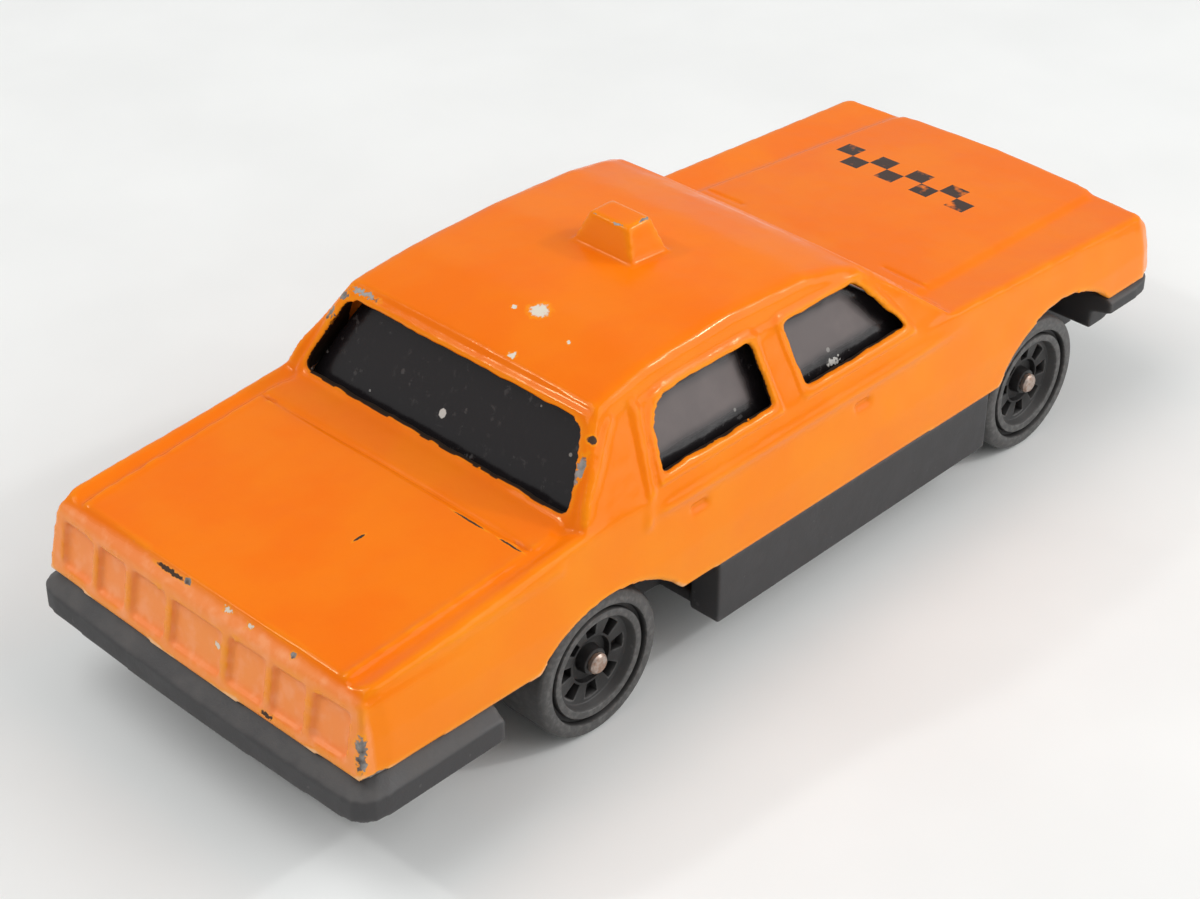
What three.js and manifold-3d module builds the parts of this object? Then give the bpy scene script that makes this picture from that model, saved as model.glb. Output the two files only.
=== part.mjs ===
// A die-cast toy taxi: a cast metal body over a black plastic base, with one glazing moulding,
// two wire axles and four free-running wheels. Sizes are in millimetres. +X is forward, +Y is
// the car's left and +Z is up. The origin lies on the ground under the middle of the car.
import * as THREE from 'three';
import { mergeVertices } from 'three/addons/utils/BufferGeometryUtils.js';
import Module from 'manifold-3d';

const wasm = await Module();
wasm.setup();

// Overall sizes
const OVERALL_LENGTH = 75;
const BODY_WIDTH = 27.3; // across the lower edges of the sides
const WAIST_WIDTH = 26.2; // across the crease half way up the sides
const SHOULDER_WIDTH = 25.4; // across the upper creases of the wings
const BELT_WIDTH = 24.9; // across the cabin at the belt
const ROOF_WIDTH = 20.1; // across the roof edges
const ROOF_HEIGHT = 21.3;
const BELT_HEIGHT = 14.9;
const WAIST_HEIGHT = 12.65;
const TAIL_HEIGHT = 12.9;
const NOSE_HEIGHT = 13.05;
const CASTING_WALL = 0.9;

// Ends of the body
const BUMPER_PROUD = 0.65; // bumper beyond the body at each end
const TAIL_BOW = 0.35; // how far the middle of the tail stands behind its corners
const NOSE_BOW = 1.1;
const TAIL_LEAN = 0.75; // how far the tail leans forward below its lip
const LIP_ROLL = 0.65; // run and drop of the rounded lip over the tail and the nose
const TAIL_TAPER = 0.35; // how far the sides draw in at the rear corners
const NOSE_TAPER = 0.9;

// Lengths along the car
const DECK_LENGTH = 17.85; // tail to the foot of the rear window
const BONNET_LENGTH = 23.25; // nose to the foot of the windscreen
const REAR_WINDOW_RUN = 3.45; // how far the rear window leans
const WINDSCREEN_RUN = 6.6;
const REAR_OVERHANG = 19.63; // rear end of the car to the rear axle
const FRONT_OVERHANG = 13.97;

// Cabin
const REAR_HEADER_DROP = 1.2; // roof crown to the top of the rear window panel
const FRONT_HEADER_DROP = 1.6;
const ROOF_EDGE_DROP = 1.9; // roof crown to where the sides begin
const ROOF_CROWN = 0.28; // fall of the roof from its middle to its edges
const ROOF_SHOULDER = 1.2; // width of the roof's rounded edge
const COWL_DROP = 0.35; // deck and bonnet below the belt where they meet the cabin

// Windows
const C_PILLAR = 6.5; // foot of the rear window to the rear side window
const B_PILLAR = 2.9;
const A_PILLAR = 4.1; // front side window to the foot of the windscreen
const SIDE_WINDOW_SILL = 0.3; // belt to the feet of the side windows
const SIDE_WINDOW_TOP_DROP = 2.4; // roof crown to the tops of the side windows
const SIDE_WINDOW_RAKE = 3.1; // lean of the front edge of the front side window
const QUARTER_CURVE = 3.1; // run of the round top corner of the rear side window
const GLASS_MARGIN_FOOT = 1.45; // metal beside the end windows at their feet
const GLASS_MARGIN_HEAD = 0.66;
const GLASS_SILL = 0.2; // metal below the end windows
const GLASS_HEAD_DROP = 2.25; // roof crown to the tops of the end windows
const TRIM_WIDTH = 0.5; // raised frames round the windows
const TRIM_PROUD = 0.16;
const WINDOW_LIP = 0.3; // thickness of the casting at a window's edge
const REBATE_WIDTH = 0.5; // thinned casting round each window

// Door handles and the ridges of the rear pillars
const HANDLE_PLACES = [8.85, 23.6]; // ahead of the foot of the rear window
const HANDLE_LENGTH = 1.6;
const HANDLE_HEIGHT = 0.6;
const HANDLE_DEPTH = 0.25;
const HANDLE_DROP = 0.75; // crease to the foot of a handle
const RIDGE_FOOT = 5.3; // foot of the rear window to the ridge
const RIDGE_HEAD = 6.3;
const RIDGE_WIDTH = 0.5;
const RIDGE_RUN = 1; // how far the ridge runs on below the deck

// Deck and bonnet
const DECK_CROWN = 0.15;
const LID_HALF_WIDTH = 11;
const BONNET_HALF_WIDTH_REAR = 9.4;
const BONNET_HALF_WIDTH_FRONT = 8.2;
const LID_GROOVE = 0.22; // depth of the groove beside the boot lid and the bonnet
const LID_GROOVE_WIDTH = 0.7;
const SHUT_LINE_WIDTH = 0.35;
const SHUT_LINE_DEPTH = 0.2;
const BOOT_SHELF = 2.9; // boot lid shut line to the foot of the rear window
const COWL_SHELF = 1.7; // bonnet shut line to the foot of the windscreen

// Tail panel and grille
const TAIL_PANEL_DEPTH = 0.35;
const TAIL_PANEL_RIM = 0.7; // plain metal above the lower edge of the tail
const TAIL_LIP = 1.25; // plain lip above the panel
const LAMP_RIB = 0.65;
const LAMP_RIB_PLACES = [2.4, 5.95, 9.1];
const TAIL_PANEL_HALF_WIDTH = 12.1;
const GRILLE_HALF_WIDTH = 6.2;
const GRILLE_BARS = 7;
const GRILLE_BAR = 0.5;
const HEADLAMP_WIDTH = 2.3;
const HEADLAMP_GAP = 0.45;
const GRILLE_DEPTH = 0.4;

// Roof sign
const SIGN_HEIGHT = 2; // above the roof crown
const SIGN_LENGTH = 3.1;
const SIGN_WIDTH = 4.8;
const SIGN_TOP_LENGTH = 2;
const SIGN_TOP_WIDTH = 3.1;
const SIGN_LEAD = 1.15; // middle of the sign ahead of the middle of the roof

// Lower edge of the body
const TAIL_EDGE = 8.15; // height at the tail
const REAR_ARCH_EDGE = 7.8; // height beside the rear wheels
const SILL_EDGE_REAR = 7.55;
const SILL_EDGE_FRONT = 7.3;
const NOSE_EDGE = 8.8;

// Wheels and axles
const WHEEL_RADIUS = 4.85;
const WHEEL_WIDTH = 4;
const WHEEL_INSET = 0.95; // wheel face inside the body side
const WHEEL_SIDES = 24;
const AXLE_DIAMETER = 1;
const AXLE_SIDES = 12;
const AXLE_HEAD = 0.16; // how far the peened head stands out round the wire
const AXLE_HEAD_HEIGHT = 0.4;
const RUNNING_CLEARANCE = 0.08;
const HEAD_CLEARANCE = 0.1;
const HUB_SET_BACK = 0.45; // wheel hub inside the wheel face
const HUB_RADIUS = 1.25;
const DISH_RADIUS = 3;
const DISH_DEPTH = 0.75;
const WHEEL_RIM = 0.35;
const RIM_GROOVE_WIDTH = 0.22;
const RIM_GROOVE_DEPTH = 0.4;
const TYRE_SHOULDER = 0.35;
const WEB_THICKNESS = 1.2;
const INNER_HOLLOW_RADIUS = 3.7;
const POCKETS = 8;
const POCKET_DEPTH = 0.5;
const POCKET_INNER_RADIUS = 1.55;
const POCKET_OUTER_RADIUS = 2.75;
const POCKET_SHARE = 0.62; // pocket width as a share of its pitch
const REAR_ARCH_GAP = 0.5; // wheel to the top of its arch
const FRONT_ARCH_GAP = 1.25;
const ARCH_EASE = 3.15; // arch radius beyond the wheel's
const FRONT_ARCH_LEAD = 1.6; // front arch ahead of the front axle
const ARCH_SIDES = 36;
const ARCH_DEPTH = 4.6; // how far the arches cut inward from the sides

// Base
const GROUND_CLEARANCE = 3;
const FLOOR_THICKNESS = 1.2;
const SILL_INSET = 0.2; // sill face inside the lower edge of the body
const SILL_WALL = 2;
const SILL_REAR_GAP = 4.4; // rear tyre to the sill
const SILL_FRONT_GAP = 1.1;
const SEAM = 0.12; // between the body's lower edge and the base
const LIP_HEIGHT = 1; // locating lip above the seam
const LIP_CLEARANCE = 0.25;
const LIP_WALL = 1;
const WHEEL_SIDE_CLEARANCE = 0.35; // inner face of a wheel to the pan
const REAR_BUMPER_WRAP = 10.6; // length of the bumper's side arm
const FRONT_BUMPER_WRAP = 6.9;
const REAR_BUMPER_OVERHANG = 0.55; // bumper beyond the body side
const FRONT_BUMPER_OVERHANG = 0.15;
const REAR_BUMPER_BOTTOM = 4.6;
const FRONT_BUMPER_BOTTOM = 5.9;
const REAR_BUMPER_STEP = 5.7; // foot of the bumper bar over its valance
const FRONT_BUMPER_STEP = 7.6;
const REAR_BUMPER_TOP = 7.05;
const FRONT_BUMPER_TOP = 8.4;
const REAR_VALANCE_INSET = 1.2;
const FRONT_VALANCE_INSET = 1.5;
const REAR_LEDGE_INSET = 1; // run of the sloped ledge over the bumper bar
const FRONT_LEDGE_INSET = 0.5;
const REAR_BUMPER_CORNER = 1.9;
const FRONT_BUMPER_CORNER = 2.8;
const BUMPER_WALL = 1.75;
const CLIP_LENGTH = 2.6; // axle clips
const CLIP_WIDTH = 1.6;
const CLIP_SPREAD = 5.4; // middle of the car to each clip
const CLIP_MOUTH = 0.86; // mouth of a clip, as a share of the wire
const CLIP_LIP = 0.75; // clip above the middle of the wire
const STAY_LENGTH = 2.2; // stays that hold the glazing up
const STAY_THICKNESS = 1.1;
const STAY_GAP = 0.2;
const STAY_INSET = 0.15; // outer face of a stay inside the glazing's

// Glazing
const GLAZING_GAP = 0.15;
const GLAZING_WALL = 0.9;
const GLAZING_DEPTH = 1.6; // glazing below the belt

// Rivets and their posts
const POST_RADIUS = 2;
const POST_BORE = 0.72;
const POST_BORE_DEPTH = 3;
const POST_GAP = 0.15;
const POST_ROOM = 0.25; // all round a post
const RIVET_RADIUS = 0.62;
const RIVET_LENGTH = 3.4;
const RIVET_HEAD_RADIUS = 1.35;
const RIVET_HEAD_HEIGHT = 0.55;
const RIVET_FIT = 0.12;
const RIVET_SIDES = 12;
const BOSS_RADIUS = 2.6;
const BOSS_HEIGHT = 1.9;
const REAR_POST_PLACE = 9.3; // behind the rear axle
const FRONT_POST_PLACE = 8.6; // ahead of the front axle

// Places along the car
const REAR_END = -OVERALL_LENGTH / 2;
const FRONT_END = OVERALL_LENGTH / 2;
const TAIL_X = REAR_END + BUMPER_PROUD;
const NOSE_X = FRONT_END - BUMPER_PROUD;
const REAR_AXLE_X = REAR_END + REAR_OVERHANG;
const FRONT_AXLE_X = FRONT_END - FRONT_OVERHANG;
const REAR_FOOT_X = TAIL_X + DECK_LENGTH;
const FRONT_FOOT_X = NOSE_X - BONNET_LENGTH;
const REAR_HEADER_X = REAR_FOOT_X + REAR_WINDOW_RUN;
const FRONT_HEADER_X = FRONT_FOOT_X - WINDSCREEN_RUN;
const ROOF_MIDDLE_X = (REAR_HEADER_X + FRONT_HEADER_X) / 2;
const SIGN_X = ROOF_MIDDLE_X + SIGN_LEAD;
const REAR_POST_X = REAR_AXLE_X - REAR_POST_PLACE;
const FRONT_POST_X = FRONT_AXLE_X + FRONT_POST_PLACE;

// Heights
const COWL_HEIGHT = BELT_HEIGHT - COWL_DROP;
const REAR_HEADER_Z = ROOF_HEIGHT - REAR_HEADER_DROP;
const FRONT_HEADER_Z = ROOF_HEIGHT - FRONT_HEADER_DROP;
const ROOF_EDGE_Z = ROOF_HEIGHT - ROOF_EDGE_DROP;
const AXLE_Z = WHEEL_RADIUS * Math.cos(Math.PI / WHEEL_SIDES); // each tyre stands on one of its flats
const FLOOR_TOP = GROUND_CLEARANCE + FLOOR_THICKNESS;
const GLAZING_FOOT = BELT_HEIGHT - GLAZING_DEPTH;

// Widths
const BODY_HALF = BODY_WIDTH / 2;
const WHEEL_FACE_Y = BODY_HALF - WHEEL_INSET;
const WHEEL_MIDDLE_Y = WHEEL_FACE_Y - WHEEL_WIDTH / 2;
const PAN_HALF = WHEEL_FACE_Y - WHEEL_WIDTH - WHEEL_SIDE_CLEARANCE;
const SILL_FACE_Y = BODY_HALF - SILL_INSET;
const TUMBLEHOME = (BELT_WIDTH - ROOF_WIDTH) / 2 / (ROOF_EDGE_Z - BELT_HEIGHT);
const REACH = OVERALL_LENGTH; // a length that passes right through the car

// Solids from three.js geometry

function solid(geometry) {
  const bare = geometry.clone();
  bare.deleteAttribute('normal');
  bare.deleteAttribute('uv');
  const merged = mergeVertices(bare, 1e-4);
  const vertProperties = Float32Array.from(merged.attributes.position.array);
  const triVerts = Uint32Array.from(merged.index.array);
  return new wasm.Manifold(new wasm.Mesh({ numProp: 3, vertProperties, triVerts }));
}

function geometryOf(manifold) {
  const mesh = manifold.getMesh();
  const geometry = new THREE.BufferGeometry();
  geometry.setAttribute('position', new THREE.BufferAttribute(Float32Array.from(mesh.vertProperties), 3));
  geometry.setIndex(Array.from(mesh.triVerts));
  geometry.computeVertexNormals();
  return geometry;
}

function joined(solids) {
  return solids.reduce((sum, next) => sum.add(next));
}

function block(x0, x1, y0, y1, z0, z1) {
  const geometry = new THREE.BoxGeometry(x1 - x0, y1 - y0, z1 - z0);
  geometry.translate((x0 + x1) / 2, (y0 + y1) / 2, (z0 + z1) / 2);
  return solid(geometry);
}

function extrusion(shape, depth, curveSegments = 3) {
  return new THREE.ExtrudeGeometry(shape, { depth, curveSegments, bevelEnabled: false });
}

// A side outline, drawn in x and z, carried across the car from y0 to y1.
function acrossCar(shape, y0, y1, curveSegments) {
  const geometry = extrusion(shape, y1 - y0, curveSegments);
  geometry.rotateX(Math.PI / 2);
  geometry.translate(0, y1, 0);
  return solid(geometry);
}

// A front outline, drawn in y and z, carried along the car from x0 to x1.
function alongCar(shape, x0, x1, curveSegments) {
  const geometry = extrusion(shape, x1 - x0, curveSegments);
  const axes = new THREE.Matrix4().makeBasis(
    new THREE.Vector3(0, 1, 0),
    new THREE.Vector3(0, 0, 1),
    new THREE.Vector3(1, 0, 0),
  );
  geometry.applyMatrix4(axes);
  geometry.translate(x0, 0, 0);
  return solid(geometry);
}

// An upright round post or hole.
function upright(radius, x, y, z0, z1, sides) {
  const geometry = new THREE.CylinderGeometry(radius, radius, z1 - z0, sides);
  geometry.rotateX(Math.PI / 2);
  geometry.translate(x, y, (z0 + z1) / 2);
  return solid(geometry);
}

// A round bar or bore across the car.
function crossBar(radius, x, z, y0, y1, sides) {
  const geometry = new THREE.CylinderGeometry(radius, radius, y1 - y0, sides);
  geometry.translate(x, (y0 + y1) / 2, z);
  return solid(geometry);
}

// A closed outline through straight points, with its corners rounded.
function roundedOutline(points, radius) {
  const shape = new THREE.Shape();
  points.forEach((corner, index) => {
    const before = points[(index + points.length - 1) % points.length];
    const after = points[(index + 1) % points.length];
    const here = new THREE.Vector2(...corner);
    const toBefore = new THREE.Vector2(...before).sub(here);
    const toAfter = new THREE.Vector2(...after).sub(here);
    const cut = Math.min(radius, toBefore.length() / 2, toAfter.length() / 2);
    const start = here.clone().add(toBefore.setLength(cut));
    const end = here.clone().add(toAfter.setLength(cut));
    if (index === 0) {
      shape.moveTo(start.x, start.y);
    } else {
      shape.lineTo(start.x, start.y);
    }
    shape.quadraticCurveTo(here.x, here.y, end.x, end.y);
  });
  shape.closePath();
  return shape;
}

// A solid through a row of closed rings with equal numbers of points, closed by a fan at each end.
function loft(rings) {
  const count = rings[0].length;
  const sumOf = (ring) => ring.reduce((sum, point) => sum.add(point), new THREE.Vector3());
  const middleOf = (ring) => sumOf(ring).divideScalar(count);
  const last = rings.length - 1;
  const points = [...rings.flat(), middleOf(rings[0]), middleOf(rings[last])];
  const rearMiddle = rings.length * count;
  const frontMiddle = rearMiddle + 1;
  const index = [];
  for (let step = 0; step < count; step += 1) {
    const next = (step + 1) % count;
    for (let ring = 0; ring < last; ring += 1) {
      const a = ring * count + step;
      const b = ring * count + next;
      index.push(a, b, b + count, a, b + count, a + count);
    }
    index.push(rearMiddle, next, step, frontMiddle, last * count + step, last * count + next);
  }
  const geometry = new THREE.BufferGeometry().setFromPoints(points);
  geometry.setIndex(index);
  return solid(facingOut(geometry));
}

function facingOut(geometry) {
  const index = geometry.index.array;
  const position = geometry.attributes.position;
  const corners = [new THREE.Vector3(), new THREE.Vector3(), new THREE.Vector3()];
  let volume = 0;
  for (let face = 0; face < index.length; face += 3) {
    corners.forEach((corner, step) => corner.fromBufferAttribute(position, index[face + step]));
    volume += corners[0].dot(corners[1].clone().cross(corners[2]));
  }
  if (volume < 0) {
    for (let face = 0; face < index.length; face += 3) {
      [index[face], index[face + 1]] = [index[face + 1], index[face]];
    }
  }
  return geometry;
}

// A value that runs straight between places along the car.
function rail(points) {
  return (x) => {
    if (x <= points[0][0]) {
      return points[0][1];
    }
    for (let step = 1; step < points.length; step += 1) {
      const [x0, v0] = points[step - 1];
      const [x1, v1] = points[step];
      if (x <= x1) {
        return v0 + ((v1 - v0) * (x - x0)) / (x1 - x0);
      }
    }
    return points[points.length - 1][1];
  };
}

function mirrored(half) {
  const other = half.filter(([y]) => y > 0).map(([y, z]) => [-y, z]);
  return [...half].reverse().concat(other);
}

function sectionRing(x, half) {
  return mirrored(half).map(([y, z]) => new THREE.Vector3(x, y, z));
}

// Lower body: rails along the car

const CORNER_RUN = 2.4; // length over which the sides draw in
const tailCorner = TAIL_X + CORNER_RUN;
const noseCorner = NOSE_X - CORNER_RUN;
const TUCK = 0.5; // how far the deck and the bonnet run on under the cabin
const rearTuck = REAR_FOOT_X + TUCK;
const frontTuck = FRONT_FOOT_X - TUCK;

const deckHeight = rail([
  [TAIL_X, TAIL_HEIGHT],
  [rearTuck, COWL_HEIGHT],
  [frontTuck, COWL_HEIGHT],
  [NOSE_X, NOSE_HEIGHT],
]);

const lidHalfWidth = rail([
  [rearTuck, LID_HALF_WIDTH],
  [frontTuck, BONNET_HALF_WIDTH_REAR],
  [NOSE_X, BONNET_HALF_WIDTH_FRONT],
]);

const cornerDraw = rail([
  [TAIL_X, TAIL_TAPER],
  [tailCorner, 0],
  [noseCorner, 0],
  [NOSE_X, NOSE_TAPER],
]);

const edgeHeight = rail([
  [TAIL_X, TAIL_EDGE],
  [REAR_AXLE_X - WHEEL_RADIUS, REAR_ARCH_EDGE],
  [REAR_AXLE_X + WHEEL_RADIUS, SILL_EDGE_REAR],
  [FRONT_AXLE_X - WHEEL_RADIUS, SILL_EDGE_FRONT],
  [FRONT_AXLE_X + WHEEL_RADIUS, NOSE_EDGE],
  [NOSE_X, NOSE_EDGE],
]);

const STATIONS = [
  REAR_END,
  TAIL_X,
  tailCorner,
  (tailCorner + REAR_FOOT_X) / 2,
  REAR_AXLE_X - WHEEL_RADIUS,
  rearTuck,
  REAR_AXLE_X + WHEEL_RADIUS,
  frontTuck,
  FRONT_AXLE_X - WHEEL_RADIUS,
  (FRONT_AXLE_X + noseCorner) / 2,
  FRONT_AXLE_X + WHEEL_RADIUS,
  noseCorner,
  NOSE_X,
  FRONT_END,
].sort((a, b) => a - b);

// Half of the body's cross-section at one place: y and z from the middle of the top to the foot.
function bodySection(x, inset, foot) {
  const top = deckHeight(x) - inset;
  const draw = cornerDraw(x) + inset;
  const lid = lidHalfWidth(x) - draw;
  const groove = inset > 0 ? 0 : LID_GROOVE;
  const shoulder = SHOULDER_WIDTH / 2 - draw;
  const waist = WAIST_WIDTH / 2 - draw;
  const side = BODY_HALF - draw;
  const edge = edgeHeight(x);
  const ease = (SHOULDER_WIDTH / 2 - LID_HALF_WIDTH) / 4;
  return [
    [0, top + DECK_CROWN],
    [lid * 0.6, top + DECK_CROWN * 0.64],
    [lid, top],
    [lid + LID_GROOVE_WIDTH / 2, top - groove],
    [lid + LID_GROOVE_WIDTH, top - groove],
    [shoulder - ease, top - groove / 4],
    [shoulder, top - ease / 4],
    [shoulder + ease / 3, top - ease],
    [waist, WAIST_HEIGHT - ease],
    [(waist + side * 2) / 3, (WAIST_HEIGHT + edge) / 2],
    [side, edge],
    [side, foot],
  ];
}

// The outline of the body seen from above, which bows at the tail and the nose.
function planRing(z, tailX, noseX, bowShare) {
  const half = BODY_WIDTH;
  const steps = 8;
  const tail = [];
  const nose = [];
  for (let step = 0; step <= steps; step += 1) {
    const y = (step / steps - 0.5) * 2 * half;
    const rise = (y / BODY_HALF) ** 2;
    tail.push(new THREE.Vector3(tailX + TAIL_BOW * bowShare * rise, -y, z));
    nose.push(new THREE.Vector3(noseX - NOSE_BOW * bowShare * rise, y, z));
  }
  return nose.concat(tail);
}

function planBlock(inset) {
  const tailFoot = TAIL_X + inset;
  const noseFoot = NOSE_X - inset;
  const tailTop = TAIL_HEIGHT - inset;
  const noseTop = NOSE_HEIGHT - inset;
  const levels = [
    [0, 0, 0],
    [TAIL_EDGE, 0, 0],
    [tailTop - LIP_ROLL, TAIL_LEAN, LIP_ROLL * 0.55],
    [tailTop, TAIL_LEAN + LIP_ROLL, LIP_ROLL * 1.5],
    [noseTop + BELT_HEIGHT, TAIL_LEAN + LIP_ROLL * 3, LIP_ROLL * 4],
  ];
  return loft(levels.map(([z, lean, roll]) => planRing(z, tailFoot + lean, noseFoot - roll, 1)));
}

function lowerBody(inset, foot) {
  const rings = STATIONS.map((x) => sectionRing(x, bodySection(x, inset, foot)));
  return loft(rings).intersect(planBlock(inset));
}

// Cabin

function sideY(z) {
  return BELT_WIDTH / 2 - (z - BELT_HEIGHT) * TUMBLEHOME;
}

const CABIN_BURY = 4; // how far the cabin's end panels run on down inside the lower body
const ROOF_SHARES = [-0.9, -0.6, 0, 0.6, 0.9];

// The cabin's top line in x and z, from the foot of the rear window to the foot of the windscreen.
function cabinLine() {
  const rearSlope = REAR_WINDOW_RUN / (REAR_HEADER_Z - COWL_HEIGHT);
  const frontSlope = WINDSCREEN_RUN / (FRONT_HEADER_Z - COWL_HEIGHT);
  const roof = ROOF_SHARES.map((share) => {
    const end = share < 0 ? REAR_HEADER_X : FRONT_HEADER_X;
    const drop = share < 0 ? REAR_HEADER_DROP : FRONT_HEADER_DROP;
    const x = ROOF_MIDDLE_X + (end - ROOF_MIDDLE_X) * Math.abs(share);
    return [x, ROOF_HEIGHT - drop * Math.abs(share) ** 2.6];
  });
  return [
    [REAR_FOOT_X - CABIN_BURY * rearSlope, COWL_HEIGHT - CABIN_BURY],
    [REAR_FOOT_X, COWL_HEIGHT],
    [REAR_FOOT_X + REAR_WINDOW_RUN * 0.5, (COWL_HEIGHT + REAR_HEADER_Z) / 2],
    [REAR_HEADER_X, REAR_HEADER_Z],
    ...roof,
    [FRONT_HEADER_X, FRONT_HEADER_Z],
    [FRONT_FOOT_X - WINDSCREEN_RUN * 0.5, (COWL_HEIGHT + FRONT_HEADER_Z) / 2],
    [FRONT_FOOT_X, COWL_HEIGHT],
    [FRONT_FOOT_X + CABIN_BURY * frontSlope, COWL_HEIGHT - CABIN_BURY],
  ];
}

// The same line moved inward, square to itself.
function insetLine(line, inset) {
  return line.map(([x, z], index) => {
    const before = line[Math.max(index - 1, 0)];
    const after = line[Math.min(index + 1, line.length - 1)];
    const into = new THREE.Vector2(x - before[0], z - before[1]);
    const onward = new THREE.Vector2(after[0] - x, after[1] - z);
    const first = into.length() > 0 ? into.normalize() : onward.clone().normalize();
    const second = onward.length() > 0 ? onward.normalize() : first;
    const along = first.clone().add(second).normalize();
    const reach = inset / along.dot(first);
    return [x + along.y * reach, z - along.x * reach];
  });
}

// The cabin's flank leans in above the cowl and drops straight below it.
function flankY(z) {
  return sideY(Math.max(z, COWL_HEIGHT));
}

// Half of the cabin's cross-section where its top stands at the height top.
function cabinSection(top, inset, foot) {
  const drawn = inset * Math.hypot(1, TUMBLEHOME);
  const rise = (top + inset - BELT_HEIGHT) / (ROOF_HEIGHT - BELT_HEIGHT);
  const share = THREE.MathUtils.clamp(rise, 0.4, 1) ** 2;
  const crown = ROOF_CROWN * share;
  const edgeZ = top - ROOF_EDGE_DROP * share;
  const edgeY = flankY(edgeZ) - drawn;
  const start = new THREE.Vector2(edgeY - ROOF_SHOULDER * share, top - crown);
  const corner = new THREE.Vector2(edgeY, top - crown);
  const curve = new THREE.QuadraticBezierCurve(start, corner, new THREE.Vector2(edgeY, edgeZ));
  const crownAt = (part) => [start.x * part, top - crown * part * part];
  const round = curve.getPoints(3).map((point) => [point.x, point.y]);
  const beltZ = Math.min(COWL_HEIGHT, edgeZ - inset / 8 - 0.1);
  const belt = [flankY(beltZ) - drawn, beltZ];
  return [[0, top], crownAt(0.6), ...round, belt, [flankY(foot) - drawn, foot]];
}

// The cabin moved inward by inset and cut off level at foot.
function cabin(inset, foot) {
  const depth = COWL_HEIGHT - CABIN_BURY * 2;
  const rings = insetLine(cabinLine(), inset).map(([x, z]) => sectionRing(x, cabinSection(z, inset, depth)));
  return loft(rings).intersect(block(-REACH, REACH, -REACH, REACH, foot, REACH));
}

// Window outlines

const REAR_SIDE_X = REAR_FOOT_X + C_PILLAR;
const FRONT_SIDE_X = FRONT_FOOT_X - A_PILLAR;
const B_PILLAR_X = (REAR_SIDE_X + FRONT_SIDE_X) / 2;
const SIDE_WINDOW_FOOT = BELT_HEIGHT + SIDE_WINDOW_SILL;
const SIDE_WINDOW_TOP = ROOF_HEIGHT - SIDE_WINDOW_TOP_DROP;
const END_WINDOW_TOP = ROOF_HEIGHT - GLASS_HEAD_DROP;
const END_WINDOW_FOOT = COWL_HEIGHT + GLASS_SILL;
const WINDOW_CORNER = 0.45;

function rearSideWindow(grow) {
  const rear = REAR_SIDE_X - grow;
  const front = B_PILLAR_X - B_PILLAR / 2 + grow;
  const foot = SIDE_WINDOW_FOOT - grow;
  const top = SIDE_WINDOW_TOP + grow;
  const shape = new THREE.Shape();
  const bend = (top - foot) * 0.62;
  shape.moveTo(rear, foot);
  shape.lineTo(front, foot);
  shape.lineTo(front - 0.15, top - WINDOW_CORNER);
  shape.quadraticCurveTo(front - 0.2, top, front - 0.2 - WINDOW_CORNER, top);
  shape.lineTo(rear + QUARTER_CURVE, top);
  shape.quadraticCurveTo(rear + QUARTER_CURVE * 0.3, top, rear + QUARTER_CURVE * 0.16, foot + bend);
  shape.closePath();
  return shape;
}

function frontSideWindow(grow) {
  const rear = B_PILLAR_X + B_PILLAR / 2 - grow;
  const front = FRONT_SIDE_X + grow * 1.4;
  const foot = SIDE_WINDOW_FOOT - grow;
  const top = SIDE_WINDOW_TOP + grow;
  return roundedOutline(
    [
      [rear, foot],
      [front, foot],
      [front - SIDE_WINDOW_RAKE, top],
      [rear - 0.3, top],
    ],
    WINDOW_CORNER,
  );
}

function endWindow(grow) {
  const footHalf = sideY(END_WINDOW_FOOT) - GLASS_MARGIN_FOOT + grow;
  const headHalf = sideY(END_WINDOW_TOP) - GLASS_MARGIN_HEAD + grow;
  return roundedOutline(
    [
      [-footHalf, END_WINDOW_FOOT - grow],
      [footHalf, END_WINDOW_FOOT - grow],
      [headHalf, END_WINDOW_TOP + grow],
      [-headHalf, END_WINDOW_TOP + grow],
    ],
    WINDOW_CORNER * 1.6,
  );
}

// The side windows and the end windows as straight prisms, each outline grown by the same amount.
function sidePrisms(grow) {
  const innerY = sideY(SIDE_WINDOW_TOP) - CASTING_WALL - GLAZING_GAP - TRIM_WIDTH * 2;
  return joined(
    [rearSideWindow(grow), frontSideWindow(grow)].flatMap((shape) => [
      acrossCar(shape, innerY, BODY_WIDTH),
      acrossCar(shape, -BODY_WIDTH, -innerY),
    ]),
  );
}

function endPrisms(grow) {
  const reach = WINDOW_CORNER + grow;
  return alongCar(endWindow(grow), REAR_FOOT_X - reach, REAR_HEADER_X + reach).add(
    alongCar(endWindow(grow), FRONT_HEADER_X - reach, FRONT_FOOT_X + reach),
  );
}

function windowPrisms(grow) {
  return sidePrisms(grow).add(endPrisms(grow));
}

// Body shell

function shutLine(x) {
  const half = lidHalfWidth(x) + LID_GROOVE_WIDTH / 2;
  const places = [-1, -0.6, 0, 0.6, 1];
  const depth = (y) => deckHeight(x) + DECK_CROWN * (1 - (y / half) ** 2) - SHUT_LINE_DEPTH;
  const shape = new THREE.Shape();
  places.forEach((place, index) => {
    const point = [place * half, depth(place * half)];
    if (index === 0) {
      shape.moveTo(...point);
    } else {
      shape.lineTo(...point);
    }
  });
  shape.lineTo(half, BELT_HEIGHT + 1);
  shape.lineTo(-half, BELT_HEIGHT + 1);
  shape.closePath();
  return alongCar(shape, x - SHUT_LINE_WIDTH / 2, x + SHUT_LINE_WIDTH / 2);
}

function rectangle(y0, y1, z0, z1) {
  const shape = new THREE.Shape();
  shape.moveTo(y0, z0);
  shape.lineTo(y1, z0);
  shape.lineTo(y1, z1);
  shape.lineTo(y0, z1);
  shape.closePath();
  return shape;
}

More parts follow.
